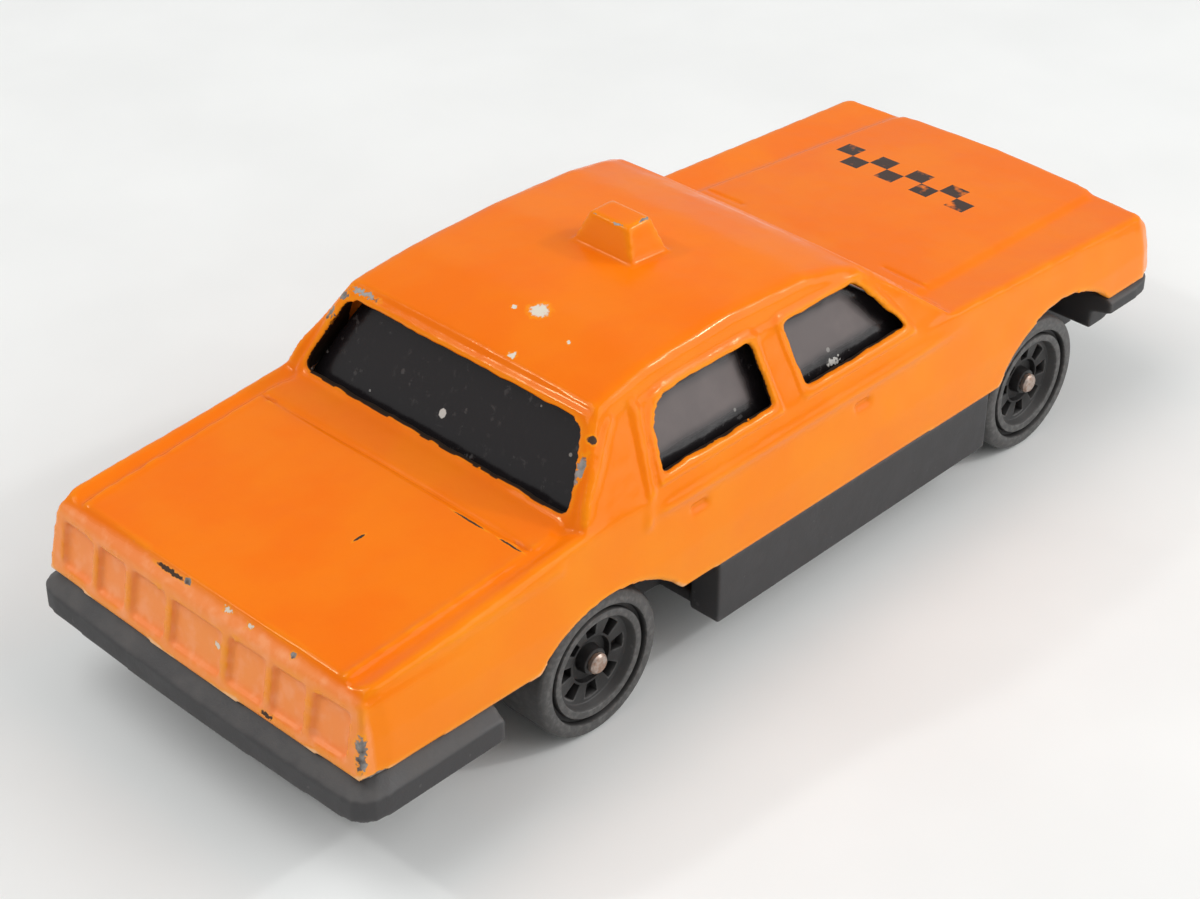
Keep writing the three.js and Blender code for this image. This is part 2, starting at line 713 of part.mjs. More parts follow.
// The lamp cells and the plate panel of the tail, each a shallow recess that follows the bow.
function tailPanel() {
  const foot = TAIL_EDGE + TAIL_PANEL_RIM;
  const top = TAIL_HEIGHT - TAIL_LIP;
  const edges = [...LAMP_RIB_PLACES, TAIL_PANEL_HALF_WIDTH + LAMP_RIB / 2];
  const middleHalf = edges[0] - LAMP_RIB / 2;
  const cells = [alongCar(rectangle(-middleHalf, middleHalf, foot, top), -REACH, 0)];
  for (let step = 0; step + 1 < edges.length; step += 1) {
    const inner = edges[step] + LAMP_RIB / 2;
    const outer = edges[step + 1] - LAMP_RIB / 2;
    cells.push(alongCar(rectangle(inner, outer, foot, top), -REACH, 0));
    cells.push(alongCar(rectangle(-outer, -inner, foot, top), -REACH, 0));
  }
  return joined(cells).subtract(planBlock(TAIL_PANEL_DEPTH));
}

// The grille slots and the four lamp recesses of the nose.
function nosePanel() {
  const foot = NOSE_EDGE + TAIL_PANEL_RIM;
  const top = NOSE_HEIGHT - TAIL_LIP;
  const pitch = (GRILLE_HALF_WIDTH * 2 + GRILLE_BAR) / (GRILLE_BARS + 1);
  const slots = [];
  for (let slot = 0; slot <= GRILLE_BARS; slot += 1) {
    const start = -GRILLE_HALF_WIDTH + slot * pitch;
    slots.push(alongCar(rectangle(start, start + pitch - GRILLE_BAR, foot, top), 0, REACH));
  }
  for (let lamp = 0; lamp < 2; lamp += 1) {
    const inner = GRILLE_HALF_WIDTH + HEADLAMP_GAP + lamp * (HEADLAMP_WIDTH + HEADLAMP_GAP);
    const outer = inner + HEADLAMP_WIDTH;
    slots.push(alongCar(rectangle(inner, outer, foot, top), 0, REACH));
    slots.push(alongCar(rectangle(-outer, -inner, foot, top), 0, REACH));
  }
  return joined(slots).subtract(planBlock(GRILLE_DEPTH));
}

function wheelArches() {
  const radius = WHEEL_RADIUS + ARCH_EASE;
  const inner = BODY_HALF - ARCH_DEPTH;
  const arch = (x, gap) => {
    const height = AXLE_Z + WHEEL_RADIUS + gap - radius;
    return crossBar(radius, x, height, inner, BODY_WIDTH, ARCH_SIDES).add(
      crossBar(radius, x, height, -BODY_WIDTH, -inner, ARCH_SIDES),
    );
  };
  return arch(REAR_AXLE_X, REAR_ARCH_GAP).add(arch(FRONT_AXLE_X + FRONT_ARCH_LEAD, FRONT_ARCH_GAP));
}

function roofSign() {
  const ring = (length, width, z) =>
    [[1, 1], [-1, 1], [-1, -1], [1, -1]].map(
      ([a, b]) => new THREE.Vector3(SIGN_X + (a * length) / 2, (b * width) / 2, z),
    );
  const foot = ROOF_HEIGHT - CASTING_WALL / 2;
  const flare = (SIGN_LENGTH - SIGN_TOP_LENGTH) / SIGN_HEIGHT;
  const spread = (SIGN_WIDTH - SIGN_TOP_WIDTH) / SIGN_HEIGHT;
  const below = CASTING_WALL / 2;
  return loft(
    [
      ring(SIGN_LENGTH + flare * below, SIGN_WIDTH + spread * below, foot),
      ring(SIGN_TOP_LENGTH, SIGN_TOP_WIDTH, ROOF_HEIGHT + SIGN_HEIGHT),
    ],
  );
}

const POST_FOOT = GROUND_CLEARANCE + BOSS_HEIGHT + POST_GAP;

function post(x) {
  return upright(POST_RADIUS, x, 0, POST_FOOT, deckHeight(x) - CASTING_WALL / 2, RIVET_SIDES).subtract(
    upright(POST_BORE, x, 0, POST_FOOT - 1, POST_FOOT + POST_BORE_DEPTH, RIVET_SIDES),
  );
}

// The four door handles, shallow recesses on the crease of the sides.
function doorHandles() {
  const recesses = HANDLE_PLACES.flatMap((place) => {
    const x = REAR_FOOT_X + place;
    const half = HANDLE_LENGTH / 2;
    const foot = WAIST_HEIGHT - HANDLE_DROP;
    return [-1, 1].map((side) => {
      const face = side * (WAIST_WIDTH / 2 + HANDLE_DEPTH);
      const floor = side * (WAIST_WIDTH / 2 - HANDLE_DEPTH);
      const [inner, outer] = [Math.min(face, floor), Math.max(face, floor)];
      return block(x - half, x + half, inner, outer, foot, foot + HANDLE_HEIGHT);
    });
  });
  return joined(recesses);
}

// The ridge down the front of each rear pillar, from the roof to the crease of the sides.
function pillarRidges() {
  const foot = REAR_FOOT_X + RIDGE_FOOT;
  const head = REAR_FOOT_X + RIDGE_HEAD;
  const top = ROOF_EDGE_Z;
  const shape = new THREE.Shape();
  shape.moveTo(foot - RIDGE_WIDTH, COWL_HEIGHT - RIDGE_RUN);
  shape.lineTo(foot, COWL_HEIGHT - RIDGE_RUN);
  shape.lineTo(head, top);
  shape.lineTo(head - RIDGE_WIDTH, top);
  shape.closePath();
  return acrossCar(shape, -BODY_WIDTH, BODY_WIDTH);
}

function bodyShell() {
  const cavity = joined([
    lowerBody(CASTING_WALL, 0),
    cabin(CASTING_WALL, WAIST_HEIGHT - CASTING_WALL * 2),
  ]);
  const raised = windowPrisms(TRIM_WIDTH).add(pillarRidges());
  const trims = cabin(-TRIM_PROUD, COWL_HEIGHT - RIDGE_RUN).intersect(raised);
  const rebates = cabin(WINDOW_LIP, WAIST_HEIGHT).intersect(windowPrisms(REBATE_WIDTH));
  const edgeShape = new THREE.Shape();
  edgeShape.moveTo(REAR_END - 1, -1);
  edgeShape.lineTo(REAR_END - 1, TAIL_EDGE);
  STATIONS.forEach((x) => edgeShape.lineTo(x, edgeHeight(x)));
  edgeShape.lineTo(FRONT_END + 1, NOSE_EDGE);
  edgeShape.lineTo(FRONT_END + 1, -1);
  edgeShape.closePath();
  const belowEdge = acrossCar(edgeShape, -BODY_WIDTH, BODY_WIDTH);
  return joined([lowerBody(0, 0), cabin(0, WAIST_HEIGHT), trims, roofSign()])
    .subtract(cavity)
    .subtract(belowEdge)
    .subtract(windowPrisms(0))
    .subtract(rebates)
    .subtract(wheelArches())
    .subtract(tailPanel())
    .subtract(nosePanel())
    .subtract(doorHandles())
    .subtract(shutLine(REAR_FOOT_X - BOOT_SHELF))
    .subtract(shutLine(FRONT_FOOT_X + COWL_SHELF))
    .add(post(REAR_POST_X))
    .add(post(FRONT_POST_X));
}

// Glazing: one moulding that fills the cabin just inside the casting

function glazing() {
  const face = CASTING_WALL + GLAZING_GAP;
  return cabin(face, GLAZING_FOOT).subtract(cabin(face + GLAZING_WALL, GLAZING_FOOT - 1));
}

// Base

const REAR_BUMPER = {
  direction: -1,
  wrap: REAR_BUMPER_WRAP,
  bow: TAIL_BOW,
  half: BODY_HALF + REAR_BUMPER_OVERHANG,
  corner: REAR_BUMPER_CORNER,
  bottom: REAR_BUMPER_BOTTOM,
  step: REAR_BUMPER_STEP,
  top: REAR_BUMPER_TOP,
  valance: REAR_VALANCE_INSET,
  ledge: REAR_LEDGE_INSET,
};

const FRONT_BUMPER = {
  direction: 1,
  wrap: FRONT_BUMPER_WRAP,
  bow: NOSE_BOW,
  half: BODY_HALF + FRONT_BUMPER_OVERHANG,
  corner: FRONT_BUMPER_CORNER,
  bottom: FRONT_BUMPER_BOTTOM,
  step: FRONT_BUMPER_STEP,
  top: FRONT_BUMPER_TOP,
  valance: FRONT_VALANCE_INSET,
  ledge: FRONT_LEDGE_INSET,
};

// One bumper outline seen from above: an arm along each side, joined by a bowed bar. direction is
// 1 at the front of the car and -1 at the rear.
function bumperRing({ direction, wrap, bow, half, corner }, inset, height, armCut = 0) {
  const outer = (OVERALL_LENGTH / 2 - inset) * direction;
  const inner = (OVERALL_LENGTH / 2 - wrap + armCut) * direction;
  const side = half - inset;
  const barEnd = outer - bow * 0.8 * direction;
  const armEnd = outer - (bow + corner) * direction;
  const cornerX = outer - bow * direction;
  const shape = new THREE.Shape();
  shape.moveTo(inner, -side);
  shape.lineTo(armEnd, -side);
  shape.quadraticCurveTo(cornerX, -side, barEnd, -side + corner);
  shape.quadraticCurveTo(outer * 2 - barEnd, 0, barEnd, side - corner);
  shape.quadraticCurveTo(cornerX, side, armEnd, side);
  shape.lineTo(inner, side);
  return shape.getPoints(4).map((point) => new THREE.Vector3(point.x, point.y, height(point.x)));
}

function bumper(sizes) {
  const level = (z) => () => z;
  const underEdge = (x) => edgeHeight(x) - SEAM;
  const tray = sizes.bottom + FLOOR_THICKNESS;
  const bar = loft([
    bumperRing(sizes, sizes.valance, level(sizes.bottom)),
    bumperRing(sizes, sizes.valance, level(sizes.step - sizes.valance / 4)),
    bumperRing(sizes, 0, level(sizes.step)),
    bumperRing(sizes, 0, level(sizes.top)),
    bumperRing(sizes, sizes.ledge, underEdge),
  ]);
  const hollow = loft([
    bumperRing(sizes, BUMPER_WALL + sizes.valance / 2, level(tray), BUMPER_WALL),
    bumperRing(sizes, BUMPER_WALL + sizes.valance / 2, level(BELT_HEIGHT), BUMPER_WALL),
  ]);
  return bar.subtract(hollow);
}

const SILL_REAR_X = REAR_AXLE_X + WHEEL_RADIUS + SILL_REAR_GAP;
const SILL_FRONT_X = FRONT_AXLE_X - WHEEL_RADIUS - SILL_FRONT_GAP;

function sillOutline(topOffset) {
  const shape = new THREE.Shape();
  shape.moveTo(SILL_REAR_X, GROUND_CLEARANCE);
  shape.lineTo(SILL_FRONT_X, GROUND_CLEARANCE);
  shape.lineTo(SILL_FRONT_X, edgeHeight(SILL_FRONT_X) + topOffset);
  shape.lineTo(SILL_REAR_X, edgeHeight(SILL_REAR_X) + topOffset);
  shape.closePath();
  return shape;
}

function sills() {
  const lipFace = BODY_HALF - CASTING_WALL - LIP_CLEARANCE;
  const lipBack = lipFace - LIP_WALL;
  const sill = sillOutline(-SEAM);
  const lip = sillOutline(LIP_HEIGHT);
  const back = Math.min(SILL_FACE_Y - SILL_WALL, lipBack) - LIP_CLEARANCE;
  const inset = FLOOR_THICKNESS / 6;
  const foot = GROUND_CLEARANCE + inset;
  return joined([
    acrossCar(sill, back, SILL_FACE_Y),
    acrossCar(sill, -SILL_FACE_Y, -back),
    acrossCar(lip, lipBack, lipFace),
    acrossCar(lip, -lipFace, -lipBack),
    block(SILL_REAR_X + inset, SILL_FRONT_X - inset, -back - inset, back + inset, foot, FLOOR_TOP - inset),
  ]);
}

// The pan runs between the wheels and steps up into the tray behind each bumper.
function pan() {
  const rearStep = REAR_END + REAR_BUMPER_WRAP;
  const frontStep = FRONT_END - FRONT_BUMPER_WRAP;
  const rear = REAR_POST_X - BOSS_RADIUS;
  const front = FRONT_POST_X + BOSS_RADIUS;
  const rearTray = REAR_BUMPER_BOTTOM + FLOOR_THICKNESS / 2;
  const frontTray = FRONT_BUMPER_BOTTOM + FLOOR_THICKNESS / 2;
  return joined([
    block(rear, front, -PAN_HALF, PAN_HALF, GROUND_CLEARANCE, FLOOR_TOP),
    block(rear, rearStep + BUMPER_WALL, -PAN_HALF, PAN_HALF, GROUND_CLEARANCE, rearTray),
    block(frontStep - BUMPER_WALL, front, -PAN_HALF, PAN_HALF, GROUND_CLEARANCE, frontTray),
  ]);
}

function axleClip(x, y) {
  const radius = AXLE_DIAMETER / 2 + RUNNING_CLEARANCE;
  const top = AXLE_Z + CLIP_LIP * AXLE_DIAMETER;
  const mouth = (AXLE_DIAMETER * CLIP_MOUTH) / 2;
  const y0 = y - CLIP_WIDTH / 2;
  const y1 = y + CLIP_WIDTH / 2;
  return block(x - CLIP_LENGTH / 2, x + CLIP_LENGTH / 2, y0, y1, FLOOR_TOP - FLOOR_THICKNESS / 2, top)
    .subtract(crossBar(radius, x, AXLE_Z, y0 - 1, y1 + 1, AXLE_SIDES * 2))
    .subtract(block(x - mouth, x + mouth, y0 - 1, y1 + 1, AXLE_Z, top + 1));
}

function glazingStays() {
  const drawn = (CASTING_WALL + GLAZING_GAP) * Math.hypot(1, TUMBLEHOME);
  const half = STAY_THICKNESS / 2;
  const y = flankY(GLAZING_FOOT) - drawn - STAY_INSET - half;
  const top = GLAZING_FOOT - STAY_GAP;
  const foot = GROUND_CLEARANCE + FLOOR_THICKNESS / 2;
  return joined(
    [SILL_REAR_X + STAY_LENGTH, FRONT_HEADER_X - STAY_LENGTH].flatMap((x) =>
      [-1, 1].map((side) =>
        block(x - STAY_LENGTH / 2, x + STAY_LENGTH / 2, side * y - half, side * y + half, foot, top),
      ),
    ),
  );
}

function rivetSeat(x) {
  return upright(BOSS_RADIUS, x, 0, GROUND_CLEARANCE, GROUND_CLEARANCE + BOSS_HEIGHT, RIVET_SIDES);
}

function rivetHole(x) {
  const bore = RIVET_RADIUS + RIVET_FIT;
  const head = RIVET_HEAD_RADIUS + RIVET_FIT;
  const seat = GROUND_CLEARANCE + RIVET_HEAD_HEIGHT + RIVET_FIT;
  return upright(bore, x, 0, GROUND_CLEARANCE - 1, GROUND_CLEARANCE + BOSS_HEIGHT + 1, RIVET_SIDES).add(
    upright(head, x, 0, GROUND_CLEARANCE - 1, seat, RIVET_SIDES),
  );
}

function basePlate() {
  const clips = [REAR_AXLE_X, FRONT_AXLE_X].flatMap((x) => [
    axleClip(x, -CLIP_SPREAD),
    axleClip(x, CLIP_SPREAD),
  ]);
  const posts = [REAR_POST_X, FRONT_POST_X];
  const rooms = posts.map((x) =>
    upright(POST_RADIUS + POST_ROOM, x, 0, GROUND_CLEARANCE + BOSS_HEIGHT, BELT_HEIGHT, RIVET_SIDES),
  );
  return joined([
    bumper(REAR_BUMPER),
    bumper(FRONT_BUMPER),
    sills(),
    pan(),
    glazingStays(),
    ...clips,
    ...posts.map(rivetSeat),
  ])
    .subtract(joined(rooms))
    .subtract(joined(posts.map(rivetHole)));
}

// Wheels, axles and rivets: turned pieces, drawn about the Y axis

function turned(profile, sides, start = 0) {
  const points = profile.map(([radius, along]) => new THREE.Vector2(radius, along));
  return solid(facingOut(mergedLathe(points, sides, start)));
}

function mergedLathe(points, sides, start) {
  const geometry = new THREE.LatheGeometry(points, sides, start);
  geometry.deleteAttribute('normal');
  geometry.deleteAttribute('uv');
  return mergeVertices(geometry, 1e-4);
}

// One wheel about its own middle, with its outer face toward +Y.
function wheel() {
  const face = WHEEL_WIDTH / 2;
  const bore = AXLE_DIAMETER / 2 + RUNNING_CLEARANCE;
  const hub = face - HUB_SET_BACK;
  const dish = face - DISH_DEPTH;
  const rim = DISH_RADIUS + WHEEL_RIM;
  const tread = WHEEL_RADIUS;
  const profile = [
    [bore, hub],
    [HUB_RADIUS, hub],
    [HUB_RADIUS + 0.1, dish],
    [DISH_RADIUS - 0.1, dish],
    [DISH_RADIUS, face - 0.1],
    [rim, face - 0.1],
    [rim, face - RIM_GROOVE_DEPTH],
    [rim + RIM_GROOVE_WIDTH, face - RIM_GROOVE_DEPTH],
    [rim + RIM_GROOVE_WIDTH, face],
    [tread - TYRE_SHOULDER, face],
    [tread - TYRE_SHOULDER * 0.25, face - TYRE_SHOULDER * 0.4],
    [tread, face - TYRE_SHOULDER * 1.2],
    [tread, -face + TYRE_SHOULDER],
    [tread - TYRE_SHOULDER, -face],
    [INNER_HOLLOW_RADIUS, -face],
    [INNER_HOLLOW_RADIUS - 0.1, dish - WEB_THICKNESS],
    [HUB_RADIUS + 0.1, dish - WEB_THICKNESS],
    [HUB_RADIUS, -face],
    [bore, -face],
    [bore, hub],
  ];
  const turnedWheel = turned(profile, WHEEL_SIDES, Math.PI / WHEEL_SIDES);
  return turnedWheel.subtract(spokePockets(dish));
}

// The ring of pockets between the spokes.
function spokePockets(dish) {
  const pitch = (Math.PI * 2) / POCKETS;
  const half = (pitch * POCKET_SHARE) / 2;
  const pockets = [];
  for (let pocket = 0; pocket < POCKETS; pocket += 1) {
    const middle = pocket * pitch;
    const at = (radius, angle) => [radius * Math.cos(angle), radius * Math.sin(angle)];
    const outline = new THREE.Shape();
    outline.moveTo(...at(POCKET_INNER_RADIUS, middle - half));
    outline.lineTo(...at(POCKET_OUTER_RADIUS, middle - half));
    outline.lineTo(...at(POCKET_OUTER_RADIUS, middle + half));
    outline.lineTo(...at(POCKET_INNER_RADIUS, middle + half));
    outline.closePath();
    pockets.push(acrossCar(outline, dish - POCKET_DEPTH, dish + 1));
  }
  return joined(pockets);
}

const HUB_FACE_Y = WHEEL_FACE_Y - HUB_SET_BACK;

function axle() {
  const wire = AXLE_DIAMETER / 2;
  const head = wire + AXLE_HEAD;
  const seat = HUB_FACE_Y + HEAD_CLEARANCE;
  const tip = seat + AXLE_HEAD_HEIGHT;
  return turned(
    [
      [0, -tip],
      [wire * 0.8, -tip],
      [head, -tip + AXLE_HEAD],
      [head, -seat],
      [wire, -seat],
      [wire, seat],
      [head, seat],
      [head, tip - AXLE_HEAD],
      [wire * 0.8, tip],
      [0, tip],
    ],
    AXLE_SIDES,
  );
}

// A rivet about the Z axis, with the underside of its head at the height 0.
function rivet() {
  const points = [
    [0, -RIVET_HEAD_HEIGHT],
    [RIVET_HEAD_RADIUS * 0.75, -RIVET_HEAD_HEIGHT],
    [RIVET_HEAD_RADIUS, -RIVET_HEAD_HEIGHT * 0.6],
    [RIVET_HEAD_RADIUS, 0],
    [RIVET_RADIUS, 0],
    [RIVET_RADIUS, RIVET_LENGTH],
    [0, RIVET_LENGTH],
  ];
  return turned(points, RIVET_SIDES);
}

// Materials, one for each kind of surface

function finish(colour, roughness, metalness) {
  return () => new THREE.MeshStandardMaterial({ color: colour, roughness, metalness });
}

const enamel = finish(0xf5790f, 0.25, 0);
const blackGlass = finish(0x1a1719, 0.15, 0);
const basePlastic = finish(0x2b2a2c, 0.65, 0);
const wheelPlastic = finish(0x262627, 0.5, 0);
const wireSteel = finish(0xa98570, 0.4, 0.9);
const rivetZinc = finish(0x9a9a98, 0.45, 0.9);

// Assembly

const car = new THREE.Group();

function place(name, geometry, material, position = [0, 0, 0], turn = [0, 0, 0]) {
  const mesh = new THREE.Mesh(geometry, material());
  mesh.name = name;
  mesh.position.set(...position);
  mesh.rotation.set(...turn);
  car.add(mesh);
}

place('body_shell', geometryOf(bodyShell()), enamel);
place('window_insert', geometryOf(glazing()), blackGlass);
place('base_plate', geometryOf(basePlate()), basePlastic);

const axleGeometry = geometryOf(axle());
const wheelGeometry = geometryOf(wheel());
const axles = { rear: REAR_AXLE_X, front: FRONT_AXLE_X };
Object.entries(axles).forEach(([end, x]) => {
  place(`${end}_axle`, axleGeometry.clone(), wireSteel, [x, 0, AXLE_Z]);
  place(`wheel_${end}_left`, wheelGeometry.clone(), wheelPlastic, [x, WHEEL_MIDDLE_Y, AXLE_Z]);
  const rightSeat = [x, -WHEEL_MIDDLE_Y, AXLE_Z];
  place(`wheel_${end}_right`, wheelGeometry.clone(), wheelPlastic, rightSeat, [0, 0, Math.PI]);
});

const rivetGeometry = geometryOf(rivet());
rivetGeometry.rotateX(Math.PI / 2);
const rivetSeatZ = GROUND_CLEARANCE + RIVET_HEAD_HEIGHT;
place('rear_rivet', rivetGeometry.clone(), rivetZinc, [REAR_POST_X, 0, rivetSeatZ]);
place('front_rivet', rivetGeometry.clone(), rivetZinc, [FRONT_POST_X, 0, rivetSeatZ]);

export default car;
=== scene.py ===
"""Die-cast toy taxi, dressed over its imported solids.

The cast body, the glazing and the base are softened copies of their solids. The wheels, the axles and the
rivets are turned afresh. Sizes are in millimetres and are turned into metres where a mesh is made.
"""

import logging
import math
from dataclasses import dataclass, field
from enum import Enum
from typing import Sequence

import bpy
import numpy as np
from mathutils import Matrix, Vector, kdtree, noise


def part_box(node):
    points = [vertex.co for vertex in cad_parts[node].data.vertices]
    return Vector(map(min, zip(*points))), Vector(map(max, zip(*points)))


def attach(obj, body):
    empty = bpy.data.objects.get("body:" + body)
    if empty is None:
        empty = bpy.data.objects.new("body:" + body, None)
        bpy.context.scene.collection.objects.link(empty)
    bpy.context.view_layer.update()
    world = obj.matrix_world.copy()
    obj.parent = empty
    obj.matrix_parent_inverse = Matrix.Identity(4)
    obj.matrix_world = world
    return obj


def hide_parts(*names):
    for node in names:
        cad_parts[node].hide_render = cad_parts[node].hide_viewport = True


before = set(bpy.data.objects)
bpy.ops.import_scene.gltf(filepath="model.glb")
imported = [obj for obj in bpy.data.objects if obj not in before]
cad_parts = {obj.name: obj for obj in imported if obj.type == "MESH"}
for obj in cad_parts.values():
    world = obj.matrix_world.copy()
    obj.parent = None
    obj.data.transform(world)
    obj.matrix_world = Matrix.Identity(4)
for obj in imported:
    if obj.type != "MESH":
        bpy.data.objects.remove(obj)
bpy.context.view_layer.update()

MM = 0.001
WELD = 1e-6
TINY = 1e-6
KEPT_SHARE = 0.4
WEIGHT_STEPS = 10
Triple = tuple[float, float, float]
Pair = tuple[float, float]
Piece = bpy.types.Object
Socket = bpy.types.NodeSocket
Tree = bpy.types.NodeTree
Array = np.ndarray

log = logging.getLogger("taxi")


class Slot(Enum):
    """Material slots of the record."""

    ENAMEL = "enamel"
    GLAZING = "black_glazing"
    BASE = "base_plastic"
    WHEEL = "wheel_plastic"
    WIRE = "axle_wire"
    RIVET = "rivet_zinc"


class Body(Enum):
    """Moving bodies of the frame."""

    CHASSIS = "chassis"
    REAR_AXLE = "rear_axle_body"
    FRONT_AXLE = "front_axle_body"
    REAR_LEFT = "rear_left_wheel"
    REAR_RIGHT = "rear_right_wheel"
    FRONT_LEFT = "front_left_wheel"
    FRONT_RIGHT = "front_right_wheel"


class Wear(Enum):
    """What shows where the enamel is damaged."""

    METAL = "metal"
    PALE = "pale"
    DARK = "dark"


# Modelling by operators


def edit_mode() -> None:
    """Goes into edit mode."""
    bpy.ops.object.mode_set(mode="EDIT")


def object_mode() -> None:
    """Goes back to object mode."""
    bpy.ops.object.mode_set(mode="OBJECT")


def take(piece: Piece) -> None:
    """Deselects everything, then selects one object and makes it active.

    Args:
        piece: The object to work on.
    """
    if bpy.context.mode != "OBJECT":
        object_mode()
    bpy.ops.object.select_all(action="DESELECT")
    piece.select_set(True)
    bpy.context.view_layer.objects.active = piece


def finish_with(piece: Piece, kind: str, **settings: object) -> None:
    """Adds a modifier and applies it.

    Args:
        piece: The object to finish.
        kind: The modifier's type.
        settings: The modifier's values.
    """
    take(piece)
    modifier = piece.modifiers.new(kind.lower(), kind)
    for name, value in settings.items():
        setattr(modifier, name, value)
    bpy.ops.object.modifier_apply(modifier=modifier.name)


def close_up(piece: Piece) -> None:
    """Merges doubled vertices and turns every face outwards.

    Args:
        piece: The object whose mesh is cleaned.
    """
    take(piece)
    edit_mode()
    bpy.ops.mesh.select_all(action="SELECT")
    bpy.ops.mesh.remove_doubles(threshold=WELD)
    bpy.ops.mesh.normals_make_consistent(inside=False)
    object_mode()


def smooth_shade(piece: Piece, angle: float) -> None:
    """Shades a piece smooth across edges flatter than an angle.

    Args:
        piece: The object to shade.
        angle: The sharpest smooth edge, in degrees.
    """
    take(piece)
    bpy.ops.object.shade_smooth_by_angle(angle=math.radians(angle))


def copy_of_node(node: str, name: str) -> Piece:
    """Makes a merged copy of a CAD node.

    Args:
        node: The node to copy.
        name: The new piece's name.

    Returns:
        The copy, with its own mesh.
    """
    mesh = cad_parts[node].data.copy()
    mesh.name = name
    mesh.materials.clear()
    piece = bpy.data.objects.new(name, mesh)
    bpy.context.scene.collection.objects.link(piece)
    take(piece)
    edit_mode()
    bpy.ops.mesh.select_all(action="SELECT")
    bpy.ops.mesh.remove_doubles(threshold=WELD)
    object_mode()
    return piece


def turned(name: str, profile: Sequence[Pair], steps: int, axis: Triple) -> Piece:
    """Turns a closed profile about an axis through the origin.

    Args:
        name: The piece's name.
        profile: Radius and place along the axis of each corner, in millimetres.
        steps: The number of sides.
        axis: The axis of turning, Y or Z.

    Returns:
        The turned piece.
    """
    along = Vector(axis)
    out = Vector((1, 0, 0))
    points = [(out * radius + along * place) * MM for radius, place in profile]
    bpy.ops.object.select_all(action="DESELECT")
    bpy.ops.mesh.primitive_plane_add(size=MM, location=(0, 0, 0))
    piece = bpy.context.active_object
    piece.name = name
    piece.data.name = name
    edit_mode()
    bpy.ops.mesh.select_all(action="SELECT")
    bpy.ops.mesh.merge(type="CENTER")
    bpy.ops.transform.translate(value=points[0])
    for before, after in zip(points, points[1:]):
        bpy.ops.mesh.extrude_region_move(TRANSFORM_OT_translate={"value": after - before})
    bpy.ops.mesh.select_all(action="SELECT")
    bpy.ops.mesh.spin(steps=steps, angle=math.tau, center=(0, 0, 0), axis=axis)
    object_mode()
    close_up(piece)
    return piece


def moved_copy(piece: Piece, name: str, place: Matrix) -> Piece:
    """Copies a piece with its own mesh and puts its place in the mesh.

    Args:
        piece: The pattern.
        name: The copy's name.
        place: Where the copy goes.

    Returns:
        The copy.
    """
    mesh = piece.data.copy()
    mesh.name = name
    mesh.transform(place)
    copy = bpy.data.objects.new(name, mesh)
    bpy.context.scene.collection.objects.link(copy)
    return copy


# Measures stored on a mesh


def mesh_arrays(mesh: bpy.types.Mesh) -> tuple[Array, Array, Array]:
    """Reads a mesh's points, point normals and edges.

    Args:
        mesh: The mesh to read.

    Returns:
        Points in millimetres, unit normals, and pairs of point numbers.
    """
    count = len(mesh.vertices)
    points = np.empty(count * 3, np.float32)
    normals = np.empty(count * 3, np.float32)
    edges = np.empty(len(mesh.edges) * 2, np.int32)
    mesh.vertices.foreach_get("co", points)
    mesh.vertex_normals.foreach_get("vector", normals)
    mesh.edges.foreach_get("vertices", edges)
    return points.reshape(-1, 3) / MM, normals.reshape(-1, 3), edges.reshape(-1, 2)


def put_points(mesh: bpy.types.Mesh, points: Array) -> None:
    """Moves a mesh's points to new places, in millimetres."""
    mesh.vertices.foreach_set("co", (points * MM).astype(np.float32).ravel())
    mesh.update()


def thin_out(piece: Piece, most: int) -> None:
    """Thins a mesh that has too many triangles.

    Args:
        piece: The object to thin.
        most: The most triangles that it keeps.
    """
    piece.data.calc_loop_triangles()
    ratio = most / max(len(piece.data.loop_triangles), 1)
    if ratio < 1:
        finish_with(piece, "DECIMATE", ratio=ratio)


def spread(values: Array, edges: Array, rounds: int) -> Array:
    """Averages a value over neighbouring points.

    Args:
        values: One value per point.
        edges: Pairs of point numbers.
        rounds: How often to average.

    Returns:
        The blurred values.
    """
    count = len(values)
    first, second = edges[:, 0], edges[:, 1]
    degree = np.bincount(first, minlength=count) + np.bincount(second, minlength=count)
    degree = np.maximum(degree, 1)
    for _ in range(rounds):
        total = np.bincount(first, values[second], count) + np.bincount(second, values[first], count)
        values = values * KEPT_SHARE + total / degree * (1 - KEPT_SHARE)
    return values


def store(mesh: bpy.types.Mesh, name: str, values: Array) -> None:
    """Stores one number per point as an attribute."""
    layer = mesh.attributes.new(name, "FLOAT", "POINT")
    layer.data.foreach_set("value", values.astype(np.float32))


def measure_surface(piece: Piece, rounds: int = 6) -> None:
    """Stores how far each point stands out from its neighbours, and how far it faces up.

    Args:
        piece: The object to measure.
        rounds: How far to blur the first measure.
    """
    points, normals, edges = mesh_arrays(piece.data)
    first, second = edges[:, 0], edges[:, 1]
    step = points[second] - points[first]
    reach = np.maximum((step**2).sum(1), TINY)
    turn = ((normals[second] - normals[first]) * step).sum(1) / reach
    count = len(points)
    degree = np.maximum(np.bincount(first, minlength=count) + np.bincount(second, minlength=count), 1)
    bend = (np.bincount(first, turn, count) + np.bincount(second, turn, count)) / degree
    store(piece.data, "crest", spread(bend, edges, rounds))
    store(piece.data, "upward", spread(normals[:, 2].astype(float), edges, 2))


